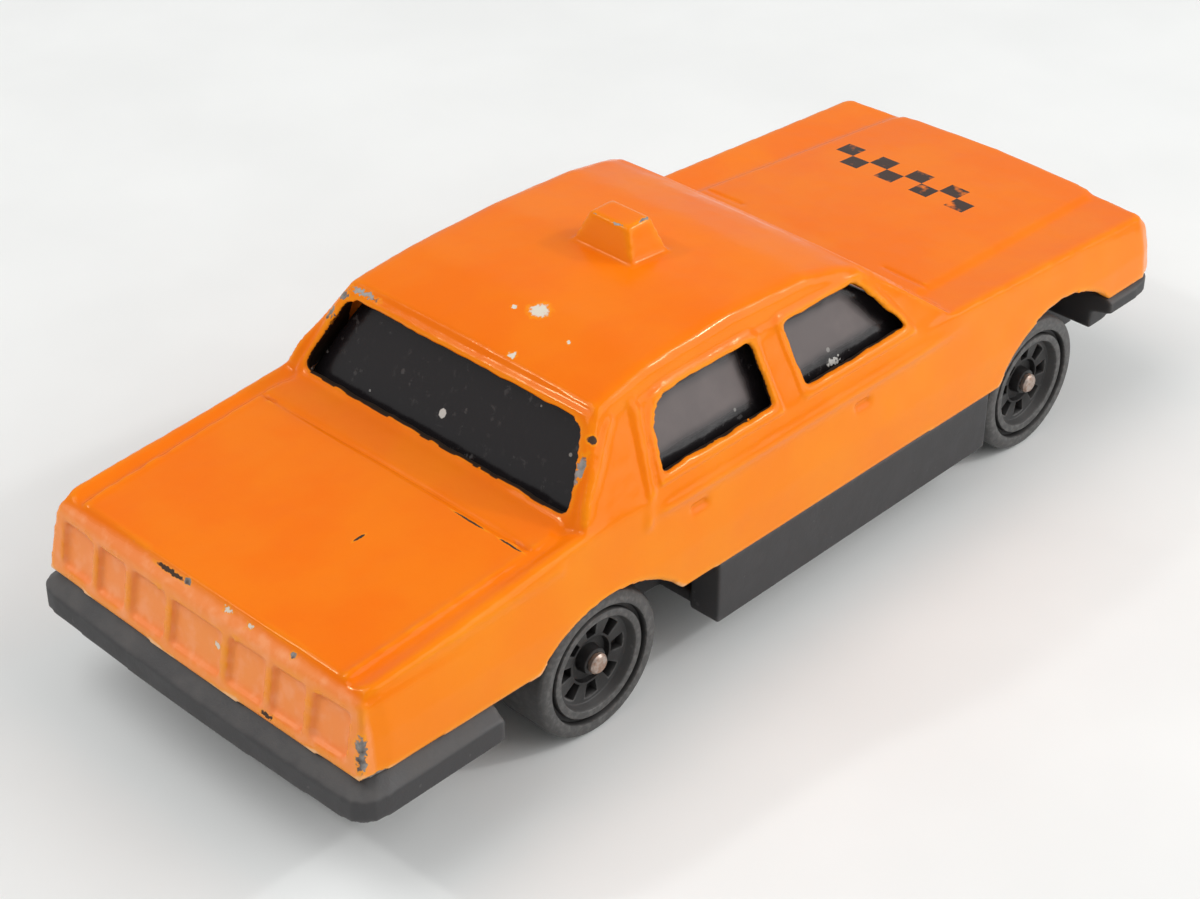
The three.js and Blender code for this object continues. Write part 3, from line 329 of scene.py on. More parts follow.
def weigh(piece: Piece, name: str, weights: Array) -> None:
    """Makes a vertex group from one weight per point, in even steps.

    Args:
        piece: The object that gets the group.
        name: The group's name.
        weights: Weights from 0 to 1.
    """
    group = piece.vertex_groups.new(name=name)
    steps = np.rint(np.clip(weights, 0, 1) * WEIGHT_STEPS).astype(int)
    for step in range(1, WEIGHT_STEPS + 1):
        chosen = np.nonzero(steps == step)[0]
        if len(chosen):
            group.add(chosen.tolist(), step / WEIGHT_STEPS, "REPLACE")


def ramp(values: Array, low: float, high: float) -> Array:
    """A smooth step from 0 at low to 1 at high."""
    share = np.clip((values - low) / (high - low), 0, 1)
    return share * share * (3 - 2 * share)


# Wiring of materials


class Wiring:
    """A node tree that is being wired."""

    def __init__(self, tree: Tree) -> None:
        """Takes hold of a node tree."""
        self.tree = tree

    def node(self, kind: str, sources: dict | None = None, **settings: object) -> bpy.types.Node:
        """Adds a node and feeds its inputs.

        Args:
            kind: The node's type.
            sources: Values or outputs by the inputs' names or numbers.
            settings: The node's own properties.

        Returns:
            The new node.
        """
        made = self.tree.nodes.new(kind)
        for name, value in settings.items():
            setattr(made, name, value)
        for key, source in (sources or {}).items():
            self.feed(made.inputs[key], source)
        return made

    def feed(self, socket: Socket, source: object) -> None:
        """Links an output to an input, or sets the input's own value.

        Args:
            socket: The input.
            source: An output, a number, a vector or a colour.
        """
        if isinstance(source, Socket):
            self.tree.links.new(source, socket)
        elif socket.type == "RGBA":
            socket.default_value = (*source, 1.0)
        else:
            socket.default_value = source

    def maths(
        self, operation: str, first: object, second: object = 0.0, clamp: bool = False
    ) -> Socket:
        """A sum of two numbers.

        Args:
            operation: The name of the sum.
            first: A number or an output.
            second: A number or an output.
            clamp: Whether the result is kept from 0 to 1.

        Returns:
            The result.
        """
        made = self.node("ShaderNodeMath", {0: first, 1: second}, operation=operation, use_clamp=clamp)
        return made.outputs[0]

    def times(self, first: object, second: object) -> Socket:
        """The product of two numbers."""
        return self.maths("MULTIPLY", first, second)

    def most(self, first: object, second: object) -> Socket:
        """The larger of two numbers."""
        return self.maths("MAXIMUM", first, second)

    def vectors(self, operation: str, first: object, second: object) -> Socket:
        """A sum of two vectors."""
        made = self.node("ShaderNodeVectorMath", {0: first, 1: second}, operation=operation)
        return made.outputs["Value" if operation == "LENGTH" else "Vector"]

    def between(self, value: object, low: object, high: object) -> Socket:
        """A smooth mask that rises from 0 at low to 1 at high.

        Args:
            value: The number that is measured.
            low: Where the mask is 0.
            high: Where the mask is 1.

        Returns:
            The mask.
        """
        sources = {"Value": value, "From Min": low, "From Max": high}
        made = self.node("ShaderNodeMapRange", sources, interpolation_type="SMOOTHSTEP")
        return made.outputs["Result"]

    def mix(self, share: object, first: object, second: object) -> Socket:
        """A mix of two colours.

        Args:
            share: How much of the second colour.
            first: A colour or an output.
            second: A colour or an output.

        Returns:
            The mixed colour.
        """
        return self.node("ShaderNodeMix", {0: share, 6: first, 7: second}, data_type="RGBA").outputs[2]

    def blend(self, share: object, first: object, second: object) -> Socket:
        """A mix of two numbers."""
        return self.node("ShaderNodeMix", {0: share, 2: first, 3: second}, data_type="FLOAT").outputs[0]

    def noise(self, place: object, scale: object, detail: float = 3.0) -> bpy.types.Node:
        """A noise texture over a place."""
        return self.node("ShaderNodeTexNoise", {"Vector": place, "Scale": scale, "Detail": detail})

    def measure(self, name: str) -> Socket:
        """A number stored on the mesh."""
        return self.node("ShaderNodeAttribute", attribute_name=name).outputs["Fac"]

    def group(self, tree: Tree, **inputs: object) -> bpy.types.Node:
        """Places a node group with its own values.

        Args:
            tree: The group.
            inputs: Values or outputs by the inputs' names.

        Returns:
            The group node.
        """
        return self.node("ShaderNodeGroup", inputs, node_tree=tree)


def new_group(
    name: str, vectors: Sequence[str], numbers: Sequence[str], outputs: Sequence[str]
) -> tuple[Wiring, object, object]:
    """Starts a shader node group.

    Args:
        name: The group's name.
        vectors: Names of its vector inputs.
        numbers: Names of its number inputs.
        outputs: Names of the numbers that it puts out.

    Returns:
        The wiring, its inputs and its outputs.
    """
    tree = bpy.data.node_groups.new(name, "ShaderNodeTree")
    rows = [(label, "INPUT", "NodeSocketVector") for label in vectors]
    rows += [(label, "INPUT", "NodeSocketFloat") for label in numbers]
    rows += [(label, "OUTPUT", "NodeSocketFloat") for label in outputs]
    for label, direction, kind in rows:
        tree.interface.new_socket(label, in_out=direction, socket_type=kind)
    wiring = Wiring(tree)
    entry = wiring.node("NodeGroupInput")
    leave = wiring.node("NodeGroupOutput")
    return wiring, entry.outputs, leave.inputs


class Effects:
    """Node groups that several finishes share."""

    def __init__(self) -> None:
        """Builds each group once."""
        self.spot = self._spot()
        self.mottle = self._mottle()
        self.specks = self._specks()
        self.peel = self._peel()

    @staticmethod
    def _spot() -> Tree:
        """A ragged spot round a centre, with the rim round it.

        Returns:
            The node group.
        """
        vectors = ["Place", "Centre", "Reach"]
        wiring, entry, leave = new_group("ragged spot", vectors, ["Ragged"], ["Bare", "Rim"])
        shake = wiring.noise(entry["Place"], 3.4, 5.0)
        middle = wiring.vectors("SUBTRACT", shake.outputs["Color"], (0.5, 0.5, 0.5))
        sources = {0: middle, "Scale": entry["Ragged"]}
        scaled = wiring.node("ShaderNodeVectorMath", sources, operation="SCALE")
        shaken = wiring.vectors("ADD", entry["Place"], scaled.outputs["Vector"])
        local = wiring.vectors("SUBTRACT", shaken, entry["Centre"])
        share = wiring.vectors("DIVIDE", local, entry["Reach"])
        far = wiring.vectors("LENGTH", share, (0, 0, 0))
        bare = wiring.between(far, 1.08, 0.84)
        wide = wiring.between(far, 1.6, 1.05)
        wiring.feed(leave["Bare"], bare)
        wiring.feed(leave["Rim"], wiring.maths("SUBTRACT", wide, bare, clamp=True))
        return wiring.tree

    @staticmethod
    def _mottle() -> Tree:
        """Soft cloudy patches.

        Returns:
            The node group.
        """
        wiring, entry, leave = new_group("mottle", ["Place"], ["Scale", "Low", "High"], ["Mask"])
        cloud = wiring.noise(entry["Place"], entry["Scale"], 4.0)
        wiring.feed(leave["Mask"], wiring.between(cloud.outputs["Fac"], entry["Low"], entry["High"]))
        return wiring.tree

    @staticmethod
    def _specks() -> Tree:
        """Small scattered specks of many sizes.

        Returns:
            The node group.
        """
        wiring, entry, leave = new_group("specks", ["Place"], ["Scale", "Share"], ["Mask"])
        sources = {"Vector": entry["Place"], "Scale": entry["Scale"]}
        cells = wiring.node("ShaderNodeTexVoronoi", sources)
        parts = wiring.node("ShaderNodeSeparateColor", {0: cells.outputs["Color"]})
        size = wiring.times(parts.outputs[1], 0.3)
        near = wiring.maths("LESS_THAN", cells.outputs["Distance"], size)
        kept = wiring.maths("LESS_THAN", parts.outputs[0], entry["Share"])
        wiring.feed(leave["Mask"], wiring.times(near, kept))
        return wiring.tree

    @staticmethod
    def _peel() -> Tree:
        """The height of thick paint or moulded plastic: slow waves with fine grain on them.

        Returns:
            The node group.
        """
        numbers = ["Wave", "Grain", "Share"]
        wiring, entry, leave = new_group("surface grain", ["Place"], numbers, ["Height"])
        wave = wiring.noise(entry["Place"], entry["Wave"], 1.0)
        grain = wiring.noise(entry["Place"], entry["Grain"], 2.0)
        fine = wiring.times(grain.outputs["Fac"], entry["Share"])
        wiring.feed(leave["Height"], wiring.maths("ADD", wave.outputs["Fac"], fine))
        return wiring.tree


@dataclass(frozen=True)
class WornSpot:
    """A damaged or dirty place, in millimetres."""

    centre: Triple
    reach: Triple
    wear: Wear
    ragged: float = 0.5


GLAZING_SPOTS: tuple[WornSpot, ...] = (
    WornSpot((-17.2, 0.65, 15.46), (0.3, 0.26, 0.3), Wear.PALE, 0.2),
    WornSpot((3.7, -11.4, 14.9), (0.6, 0.4, 0.2), Wear.PALE, 0.9),
)

WORN_SPOTS: tuple[WornSpot, ...] = (
    WornSpot((-36.15, -13.25, 10.2), (0.28, 0.5, 0.75), Wear.METAL, 0.9),
    WornSpot((-36.2, -13.3, 9.2), (0.24, 0.45, 0.6), Wear.METAL, 0.9),
    WornSpot((-35.8, -13.4, 8.15), (1.1, 0.5, 0.16), Wear.METAL, 0.5),
    WornSpot((-35.53, 2.85, 12.8), (0.14, 1.2, 0.16), Wear.DARK, 0.35),
    WornSpot((-35.5, 1.35, 12.84), (0.22, 0.28, 0.25), Wear.METAL, 0.5),
    WornSpot((-35.54, -2.1, 12.78), (0.14, 0.3, 0.18), Wear.PALE, 0.7),
    WornSpot((-35.57, -3.9, 12.73), (0.14, 0.26, 0.18), Wear.PALE, 0.7),
    WornSpot((-35.55, -7.41, 12.69), (0.2, 0.2, 0.2), Wear.METAL, 0.3),
    WornSpot((-36.04, -1.5, 10.36), (0.3, 0.2, 0.2), Wear.PALE, 0.5),
    WornSpot((-36.7, -6.17, 8.6), (0.4, 0.5, 0.16), Wear.DARK, 0.7),
    WornSpot((-27.28, -3.35, 13.9), (0.42, 0.1, 0.3), Wear.DARK, 0.2),
    WornSpot((-22.34, -6.9, 14.3), (0.07, 1.2, 0.3), Wear.DARK, 0.16),
    WornSpot((-22.32, -10.1, 14.24), (0.07, 0.85, 0.3), Wear.DARK, 0.16),
    WornSpot((-11.5, -1.6, 20.9), (0.6, 0.62, 0.5), Wear.PALE, 0.9),
    WornSpot((-12.1, -0.18, 20.8), (0.16, 0.2, 0.3), Wear.PALE, 0.6),
    WornSpot((-15.2, -3.1, 20.14), (0.22, 0.28, 0.3), Wear.PALE, 0.6),
    WornSpot((-12.57, -4.97, 20.64), (0.14, 0.14, 0.3), Wear.PALE, 0.5),
    WornSpot((-16.98, 10.44, 18.1), (0.3, 0.3, 0.6), Wear.METAL, 1.1),
    WornSpot((-16.3, 10.1, 19.2), (0.36, 0.5, 0.3), Wear.METAL, 1.1),
    WornSpot((-15.8, 8.6, 19.6), (0.22, 1.2, 0.16), Wear.METAL, 0.9),
    WornSpot((-17.5, -10.65, 17.0), (0.75, 0.24, 0.95), Wear.METAL, 0.8),
    WornSpot((-16.45, -10.6, 18.5), (0.26, 0.4, 0.22), Wear.DARK, 0.3),
    WornSpot((-4.14, 1.3, 23.3), (0.14, 0.5, 0.1), Wear.METAL, 0.5),
    WornSpot((-4.14, -0.55, 23.3), (0.12, 0.8, 0.09), Wear.METAL, 0.5),
    WornSpot((-2.7, -1.5, 23.3), (0.65, 0.12, 0.09), Wear.METAL, 0.5),
)


class Coat(Wiring):
    """The wiring of one material with one shader."""

    def __init__(self, name: str, effects: Effects) -> None:
        """Starts the material.

        Args:
            name: The material's name.
            effects: The shared node groups.
        """
        self.material = bpy.data.materials.new(name)
        self.material.use_nodes = True
        super().__init__(self.material.node_tree)
        self.effects = effects
        self.shader = self.tree.nodes["Principled BSDF"]
        coordinates = self.node("ShaderNodeTexCoord")
        sources = {"Vector": coordinates.outputs["Object"], "Scale": (1 / MM, 1 / MM, 1 / MM)}
        scale = self.node("ShaderNodeMapping", sources)
        self.place = scale.outputs["Vector"]

    def put(self, name: str, source: object) -> None:
        """Feeds an input of the shader."""
        self.feed(self.shader.inputs[name], source)

    def patches(self, scale: float, low: float, high: float) -> Socket:
        """A mask of soft cloudy patches."""
        return self.group(self.effects.mottle, Place=self.place, Scale=scale, Low=low, High=high).outputs[0]

    def specks(self, scale: float, share: float) -> Socket:
        """A mask of scattered specks."""
        return self.group(self.effects.specks, Place=self.place, Scale=scale, Share=share).outputs[0]

    def spot(self, spot: WornSpot) -> bpy.types.Node:
        """A worn spot, with outputs for its middle and its rim."""
        sizes = {"Centre": spot.centre, "Reach": spot.reach, "Ragged": spot.ragged}
        return self.group(self.effects.spot, Place=self.place, **sizes)

    def peel(self, wave: float, grain: float, share: float) -> Socket:
        """The height of an uneven surface."""
        return self.group(self.effects.peel, Place=self.place, Wave=wave, Grain=grain, Share=share).outputs[0]

    def emboss(self, height: object, strength: float, depth: float) -> None:
        """Bumps the shader's surface.

        Args:
            height: The height to follow.
            strength: How strongly, from 0 to 1.
            depth: The depth of a height of 1, in millimetres.
        """
        sources = {"Strength": strength, "Distance": depth * MM, "Height": height}
        bump = self.node("ShaderNodeBump", sources)
        self.put("Normal", bump.outputs["Normal"])


class Finish:
    """A look that is wired once for each material."""

    name: str

    def material(self, effects: Effects) -> bpy.types.Material:
        """Makes the material.

        Args:
            effects: The shared node groups.

        Returns:
            The material.
        """
        coat = Coat(self.name, effects)
        self.wire(coat)
        return coat.material

    def wire(self, coat: Coat) -> None:
        """Wires the look.

        Args:
            coat: The material's wiring.
        """
        raise NotImplementedError


@dataclass(frozen=True)
class EnamelFinish(Finish):
    """Thick glossy orange enamel with chips down to the casting, with painted light on its flanks and crests
    and painted shade in its window reveals.
    """

    name: str = "orange enamel"
    deep: Triple = (0.9, 0.168, 0.001)
    # The paler orange stands both for thin paint and for painted light and highlight.
    thin_and_lit: Triple = (0.95, 0.345, 0.006)
    dusty: Triple = (0.97, 0.36, 0.15)
    # Darker orange for concave creases.
    crease_dark: Triple = (0.58, 0.1, 0.004)
    # Pale line at the lower edges: thin worn paint and a painted highlight.
    edge: Triple = (0.9, 0.55, 0.3)
    metal: Triple = (0.36, 0.35, 0.34)
    pale: Triple = (0.72, 0.66, 0.56)
    dark: Triple = (0.05, 0.03, 0.024)
    # Near black on the walls of the window openings: painted shade, together with unpainted dark metal.
    reveal_shade: Triple = (0.02, 0.012, 0.009)
    check: Triple = (0.045, 0.026, 0.022)
    roughness: float = 0.15
    gloss: float = 0.34
    gloss_tint: Triple = (1.0, 0.72, 0.42)
    crest_high: Pair = (0.15, 1.3)
    crest_low: Pair = (-0.3, -1.9)
    side_facing: Pair = (0.75, 0.1)
    crest_thin_and_highlight: float = 0.28
    thin_in_cloud: float = 0.16
    # Paler orange on faces that turn sideways: painted light on the flanks.
    side_painted_light: float = 0.3
    crease_dark_shares: Pair = (0.3, 0.65)
    tail_start: Pair = (-35.3, -35.7)
    dust_shares: Pair = (0.45, 0.95)
    dust_on_crest: Pair = (1.0, 0.3)
    dust_matt: float = 0.8
    foot_height: Pair = (8.9, 8.3)
    foot_crest: Pair = (0.9, 2.2)
    foot_share: float = 0.75
    reveal_edge: Pair = (0.3, 0.7)
    rim_share: float = 0.5
    smear: float = 0.12
    matt_roughness: float = 0.6
    chip_metallic: float = 0.7
    chip_depth: float = 0.8
    lump_heights: Pair = (0.06, 1.1)
    check_floor: float = 12.5
    check_centre: Triple = (27.0, 1.5, 0.0)
    check_pitch: float = 1.5
    check_columns: int = 4

    def wire(self, coat: Coat) -> None:
        """Wires the enamel.

        Args:
            coat: The material\'s coat.
        """
        crest = coat.measure("crest")
        upward = coat.measure("upward")
        high = coat.between(crest, *self.crest_high)
        low = coat.between(crest, *self.crest_low)
        cloud = coat.patches(scale=0.16, low=0.35, high=0.7)
        fine = coat.patches(scale=1.1, low=0.42, high=0.75)
        # Faces that turn sideways get the paler orange as painted light, for the brighter light on the
        # flanks.
        side = coat.between(upward, *self.side_facing)
        clouded = coat.times(cloud, self.thin_in_cloud)
        # Crests get the paler orange partly as thin paint and partly as a painted highlight; random clouds
        # add paler tone.
        thin_and_lit = coat.maths("ADD", coat.times(high, self.crest_thin_and_highlight), clouded, clamp=True)
        thin_and_lit = coat.maths("ADD", thin_and_lit, coat.times(side, self.side_painted_light), clamp=True)
        colour = coat.mix(thin_and_lit, self.deep, self.thin_and_lit)
        # Patchy darker orange in the concave creases, driven by curvature.
        crease_darkening = coat.times(low, coat.blend(fine, *self.crease_dark_shares))
        colour = coat.mix(crease_darkening, colour, self.crease_dark)
        parts = coat.node("ShaderNodeSeparateXYZ", {0: coat.place})
        tail = coat.between(parts.outputs[0], *self.tail_start)
        dust = coat.times(tail, coat.blend(fine, *self.dust_shares))
        dust = coat.times(dust, coat.blend(high, *self.dust_on_crest))
        colour = coat.mix(dust, colour, self.dusty)
        # A pale line along the lower crests, partly thin worn paint and partly a painted highlight.
        foot_wear_and_highlight = coat.between(parts.outputs[2], *self.foot_height)
        foot_wear_and_highlight = coat.times(foot_wear_and_highlight, coat.between(crest, *self.foot_crest))
        colour = coat.mix(coat.times(foot_wear_and_highlight, self.foot_share), colour, self.edge)
        check = self._check_band(coat, parts)
        colour = coat.mix(check, colour, self.check)
        # Window opening walls go near black and matt: painted shade in the recesses, with unpainted dark
        # metal.
        reveal_shade = coat.between(coat.measure("reveal_shade"), *self.reveal_edge)
        colour = coat.mix(reveal_shade, colour, self.reveal_shade)
        worn = {kind: 0.0 for kind in Wear}
        rims: object = 0.0
        for spot in WORN_SPOTS:
            made = coat.spot(spot)
            worn[spot.wear] = coat.most(worn[spot.wear], made.outputs["Bare"])
            rims = coat.most(rims, made.outputs["Rim"])
        colour = coat.mix(coat.times(rims, self.rim_share), colour, self.thin_and_lit)
        colour = coat.mix(worn[Wear.PALE], colour, self.pale)
        colour = coat.mix(worn[Wear.DARK], colour, self.dark)
        grey = coat.mix(fine, self.metal, self.dark)
        colour = coat.mix(worn[Wear.METAL], colour, grey)
        coat.put("Base Color", colour)
        damage = coat.most(worn[Wear.METAL], coat.most(worn[Wear.PALE], worn[Wear.DARK]))
        matt = coat.most(damage, coat.times(dust, self.dust_matt))
        matt = coat.most(matt, reveal_shade)
        smear = coat.blend(cloud, self.roughness, self.roughness + self.smear)
        coat.put("Roughness", coat.blend(matt, smear, self.matt_roughness))
        coat.put("Metallic", coat.times(worn[Wear.METAL], self.chip_metallic))
        coat.put("Specular IOR Level", self.gloss)
        coat.put("Specular Tint", self.gloss_tint)
        peel = coat.peel(wave=0.55, grain=5.0, share=0.08)
        nibs = coat.specks(scale=1.5, share=0.3)
        lump = coat.times(nibs, coat.blend(high, *self.lump_heights))
        height = coat.maths("ADD", peel, lump)
        height = coat.maths("SUBTRACT", height, coat.times(damage, self.chip_depth))
        coat.emboss(height, strength=0.5, depth=0.1)

    def _check_band(self, coat: Coat, parts: bpy.types.Node) -> Socket:
        """Prints a worn two-row check band across the bonnet.

        Args:
            coat: The material's wiring.
            parts: The place on the casting in millimetres, split in three.

        Returns:
            The mask of the print.
        """
        ahead = coat.maths("SUBTRACT", parts.outputs[0], self.check_centre[0])
        across = coat.maths("SUBTRACT", parts.outputs[1], self.check_centre[1])
        row = coat.maths("DIVIDE", ahead, self.check_pitch)
        column = coat.maths("DIVIDE", across, self.check_pitch)
        steps = coat.maths("ADD", coat.maths("FLOOR", row), coat.maths("FLOOR", column))
        square = coat.maths("GREATER_THAN", coat.maths("FLOORED_MODULO", steps, 2.0), 0.5)
        wide = coat.maths("LESS_THAN", coat.maths("ABSOLUTE", row), 1.0)
        long = coat.maths("LESS_THAN", coat.maths("ABSOLUTE", column), float(self.check_columns))
        above = coat.maths("GREATER_THAN", parts.outputs[2], self.check_floor)
        band = coat.times(coat.times(wide, long), above)
        rubbed = coat.patches(scale=0.8, low=0.72, high=0.56)
        return coat.times(coat.times(square, band), rubbed)


@dataclass(frozen=True)
class GlazingFinish(Finish):
    """Glossy opaque black plastic with scuffs, dust specks and a painted grey reflection on the side panes.
    """

    name: str = "black glazing"
    black: Triple = (0.012, 0.01, 0.011)
    scuffed: Triple = (0.09, 0.08, 0.078)
    speck: Triple = (0.6, 0.58, 0.54)
    # Grey on the side panes: a painted reflection of the bright room, a little clouded.
    film: Triple = (0.15, 0.122, 0.118)
    roughness: float = 0.2
    dull_roughness: float = 0.5
    scuff_share: float = 0.6
    reflection_shares: Pair = (0.75, 1.0)
    speck_share: float = 0.35

    def wire(self, coat: Coat) -> None:
        """Wires the glazing.

        Args:
            coat: The material\'s coat.
        """
        cloud = coat.patches(scale=0.35, low=0.4, high=0.75)
        scuff = coat.patches(scale=1.8, low=0.58, high=0.72)
        worn = coat.times(cloud, scuff)
        specks = coat.specks(scale=1.4, share=0.12)
        colour = coat.mix(coat.times(worn, self.scuff_share), self.black, self.scuffed)
        # Painted reflection on the side panes, kept off the edges of their openings.
        film = coat.times(coat.measure("side_pane_reflection"), coat.blend(cloud, *self.reflection_shares))
        colour = coat.mix(film, colour, self.film)
        pale = coat.times(specks, self.speck_share)
        for spot in GLAZING_SPOTS:
            pale = coat.most(pale, coat.spot(spot).outputs["Bare"])
        colour = coat.mix(pale, colour, self.speck)
        coat.put("Base Color", colour)
        dull = coat.most(worn, coat.most(pale, film))
        coat.put("Roughness", coat.blend(dull, self.roughness, self.dull_roughness))
        peel = coat.peel(wave=0.5, grain=4.0, share=0.1)
        coat.emboss(peel, strength=0.35, depth=0.08)


@dataclass(frozen=True)
class MouldedFinish(Finish):
    """Matt moulded plastic, dusty where it faces up, rubbed at its edges and near black as painted shade in
    its recesses.
    """

    name: str
    colour: Triple
    rubbed: Triple
    dust: Triple
    dust_share: float
    roughness: float
    # Near black in the wheels' slots, hub well and groove: painted shade.
    recess_shade: Triple = (0.006, 0.005, 0.005)
    edge_crest: Pair = (0.4, 2.4)
    rub_shares: Pair = (0.25, 0.8)
    lying_facing: Pair = (0.2, 0.85)
    settled_shares: Pair = (0.35, 1.0)
    cloud_share: float = 0.06
    speck_share: float = 0.18
    rough_range: float = 0.18

    def wire(self, coat: Coat) -> None:
        """Wires the plastic.

        Args:
            coat: The material\'s coat.
        """
        crest = coat.measure("crest")
        upward = coat.measure("upward")
        edge = coat.between(crest, *self.edge_crest)
        cloud = coat.patches(scale=0.5, low=0.3, high=0.75)
        fine = coat.patches(scale=3.0, low=0.4, high=0.7)
        rub = coat.times(edge, coat.blend(fine, *self.rub_shares))
        colour = coat.mix(rub, self.colour, self.rubbed)
        lying = coat.between(upward, *self.lying_facing)
        settled = coat.times(lying, coat.blend(cloud, *self.settled_shares))
        settled = coat.times(settled, self.dust_share)
        film = coat.maths("ADD", settled, coat.times(cloud, self.cloud_share))
        specks = coat.specks(scale=2.2, share=0.1)
        film = coat.most(film, coat.times(specks, self.speck_share))
        colour = coat.mix(film, colour, self.dust)
        # Painted shade in the recesses below the wheel's face.
        colour = coat.mix(coat.measure("recess_shade"), colour, self.recess_shade)
        coat.put("Base Color", colour)
        rough = coat.blend(cloud, self.roughness, self.roughness + self.rough_range)
        coat.put("Roughness", rough)
        peel = coat.peel(wave=1.2, grain=7.0, share=0.5)
        coat.emboss(peel, strength=0.4, depth=0.05)


@dataclass(frozen=True)
class MetalFinish(Finish):
    """Plain drawn or cast metal with a film of rust or oxide."""

    name: str
    colour: Triple
    rust: Triple
    rust_share: float
    roughness: float
    rust_roughness: float = 0.7
    metallic: Pair = (0.9, 0.3)

    def wire(self, coat: Coat) -> None:
        """Wires the metal.

        Args:
            coat: The material\'s coat.
        """
        cloud = coat.patches(scale=2.4, low=0.35, high=0.65)
        film = coat.times(cloud, self.rust_share)
        coat.put("Base Color", coat.mix(film, self.colour, self.rust))
        coat.put("Metallic", coat.blend(film, *self.metallic))
        coat.put("Roughness", coat.blend(film, self.roughness, self.rust_roughness))
        peel = coat.peel(wave=4.0, grain=12.0, share=0.5)
        coat.emboss(peel, strength=0.4, depth=0.03)


@dataclass
class Finishes:
    """Every finish of the car."""

    effects: Effects

    def __post_init__(self) -> None:
        """Makes one material for each slot."""
        black, rubbed, dust = (0.03, 0.029, 0.031), (0.075, 0.073, 0.072), (0.2, 0.19, 0.18)
        base = MouldedFinish("matt base plastic", black, rubbed, dust, dust_share=0.3, roughness=0.5)
        grey, rubbed, dust = (0.037, 0.036, 0.036), (0.13, 0.127, 0.123), (0.16, 0.15, 0.145)
        wheel = MouldedFinish("satin wheel plastic", grey, rubbed, dust, dust_share=0.12, roughness=0.42)
        wire = MetalFinish("drawn wire", (0.5, 0.42, 0.37), (0.3, 0.16, 0.1), 0.75, 0.38)
        zinc = MetalFinish("dull zinc", (0.42, 0.42, 0.41), (0.28, 0.27, 0.25), 0.6, 0.5)
        finishes = {
            Slot.ENAMEL: EnamelFinish(),
            Slot.GLAZING: GlazingFinish(),
            Slot.BASE: base,
            Slot.WHEEL: wheel,
            Slot.WIRE: wire,
            Slot.RIVET: zinc,
        }
        self.of_slot = {slot: finish.material(self.effects) for slot, finish in finishes.items()}

    def dress(self, piece: Piece, slot: Slot, body: Body, *nodes: str) -> None:
        """Gives a piece its material, its body and the nodes that it stands for.

        Args:
            piece: The finished piece.
            slot: Its material slot.
            body: The body that it rides on.
            nodes: The CAD nodes that it replaces.
        """
        piece.data.materials.clear()
        piece.data.materials.append(self.of_slot[slot])
        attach(piece, body.value)
        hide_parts(*nodes)
        log.info("%s: %d faces on %s", piece.name, len(piece.data.polygons), body.value)


# Sub-assemblies


@dataclass(frozen=True)
class WindowPlane:
    """The outer plane of a window and the box that holds it, in millimetres."""

    normal: Triple
    level: float
    low: Triple
    high: Triple


@dataclass(frozen=True)
class Bead:
    """A run of thick paint along a crease of the right side, repeated on the left."""

    start: Triple
    end: Triple
    height: float
    width: float


@dataclass
class SoftCopy:
    """A softened copy of a solid of the chassis."""

    node: str
    name: str
    slot: Slot
    voxel: float
    rounds: int
    most_triangles: int = 185000
    round_factor: float = 0.5
    smooth_angle: float = 80

    def build(self, finishes: Finishes) -> None:
        """Softens the copy and dresses it.

        Args:
            finishes: The car's finishes.
        """
        piece = copy_of_node(self.node, self.name)
        finish_with(piece, "REMESH", mode="VOXEL", voxel_size=self.voxel * MM)
        self.shape(piece)
        finish_with(piece, "SMOOTH", factor=self.round_factor, iterations=self.rounds)
        thin_out(piece, self.most_triangles)
        measure_surface(piece)
        self.mark(piece)
        smooth_shade(piece, self.smooth_angle)
        finishes.dress(piece, self.slot, Body.CHASSIS, self.node)

    def shape(self, piece: Piece) -> None:
        """Changes the shape of the remeshed copy, where a piece needs that."""

    def mark(self, piece: Piece) -> None:
        """Stores marks for the finish on the rounded copy, where a piece needs them."""


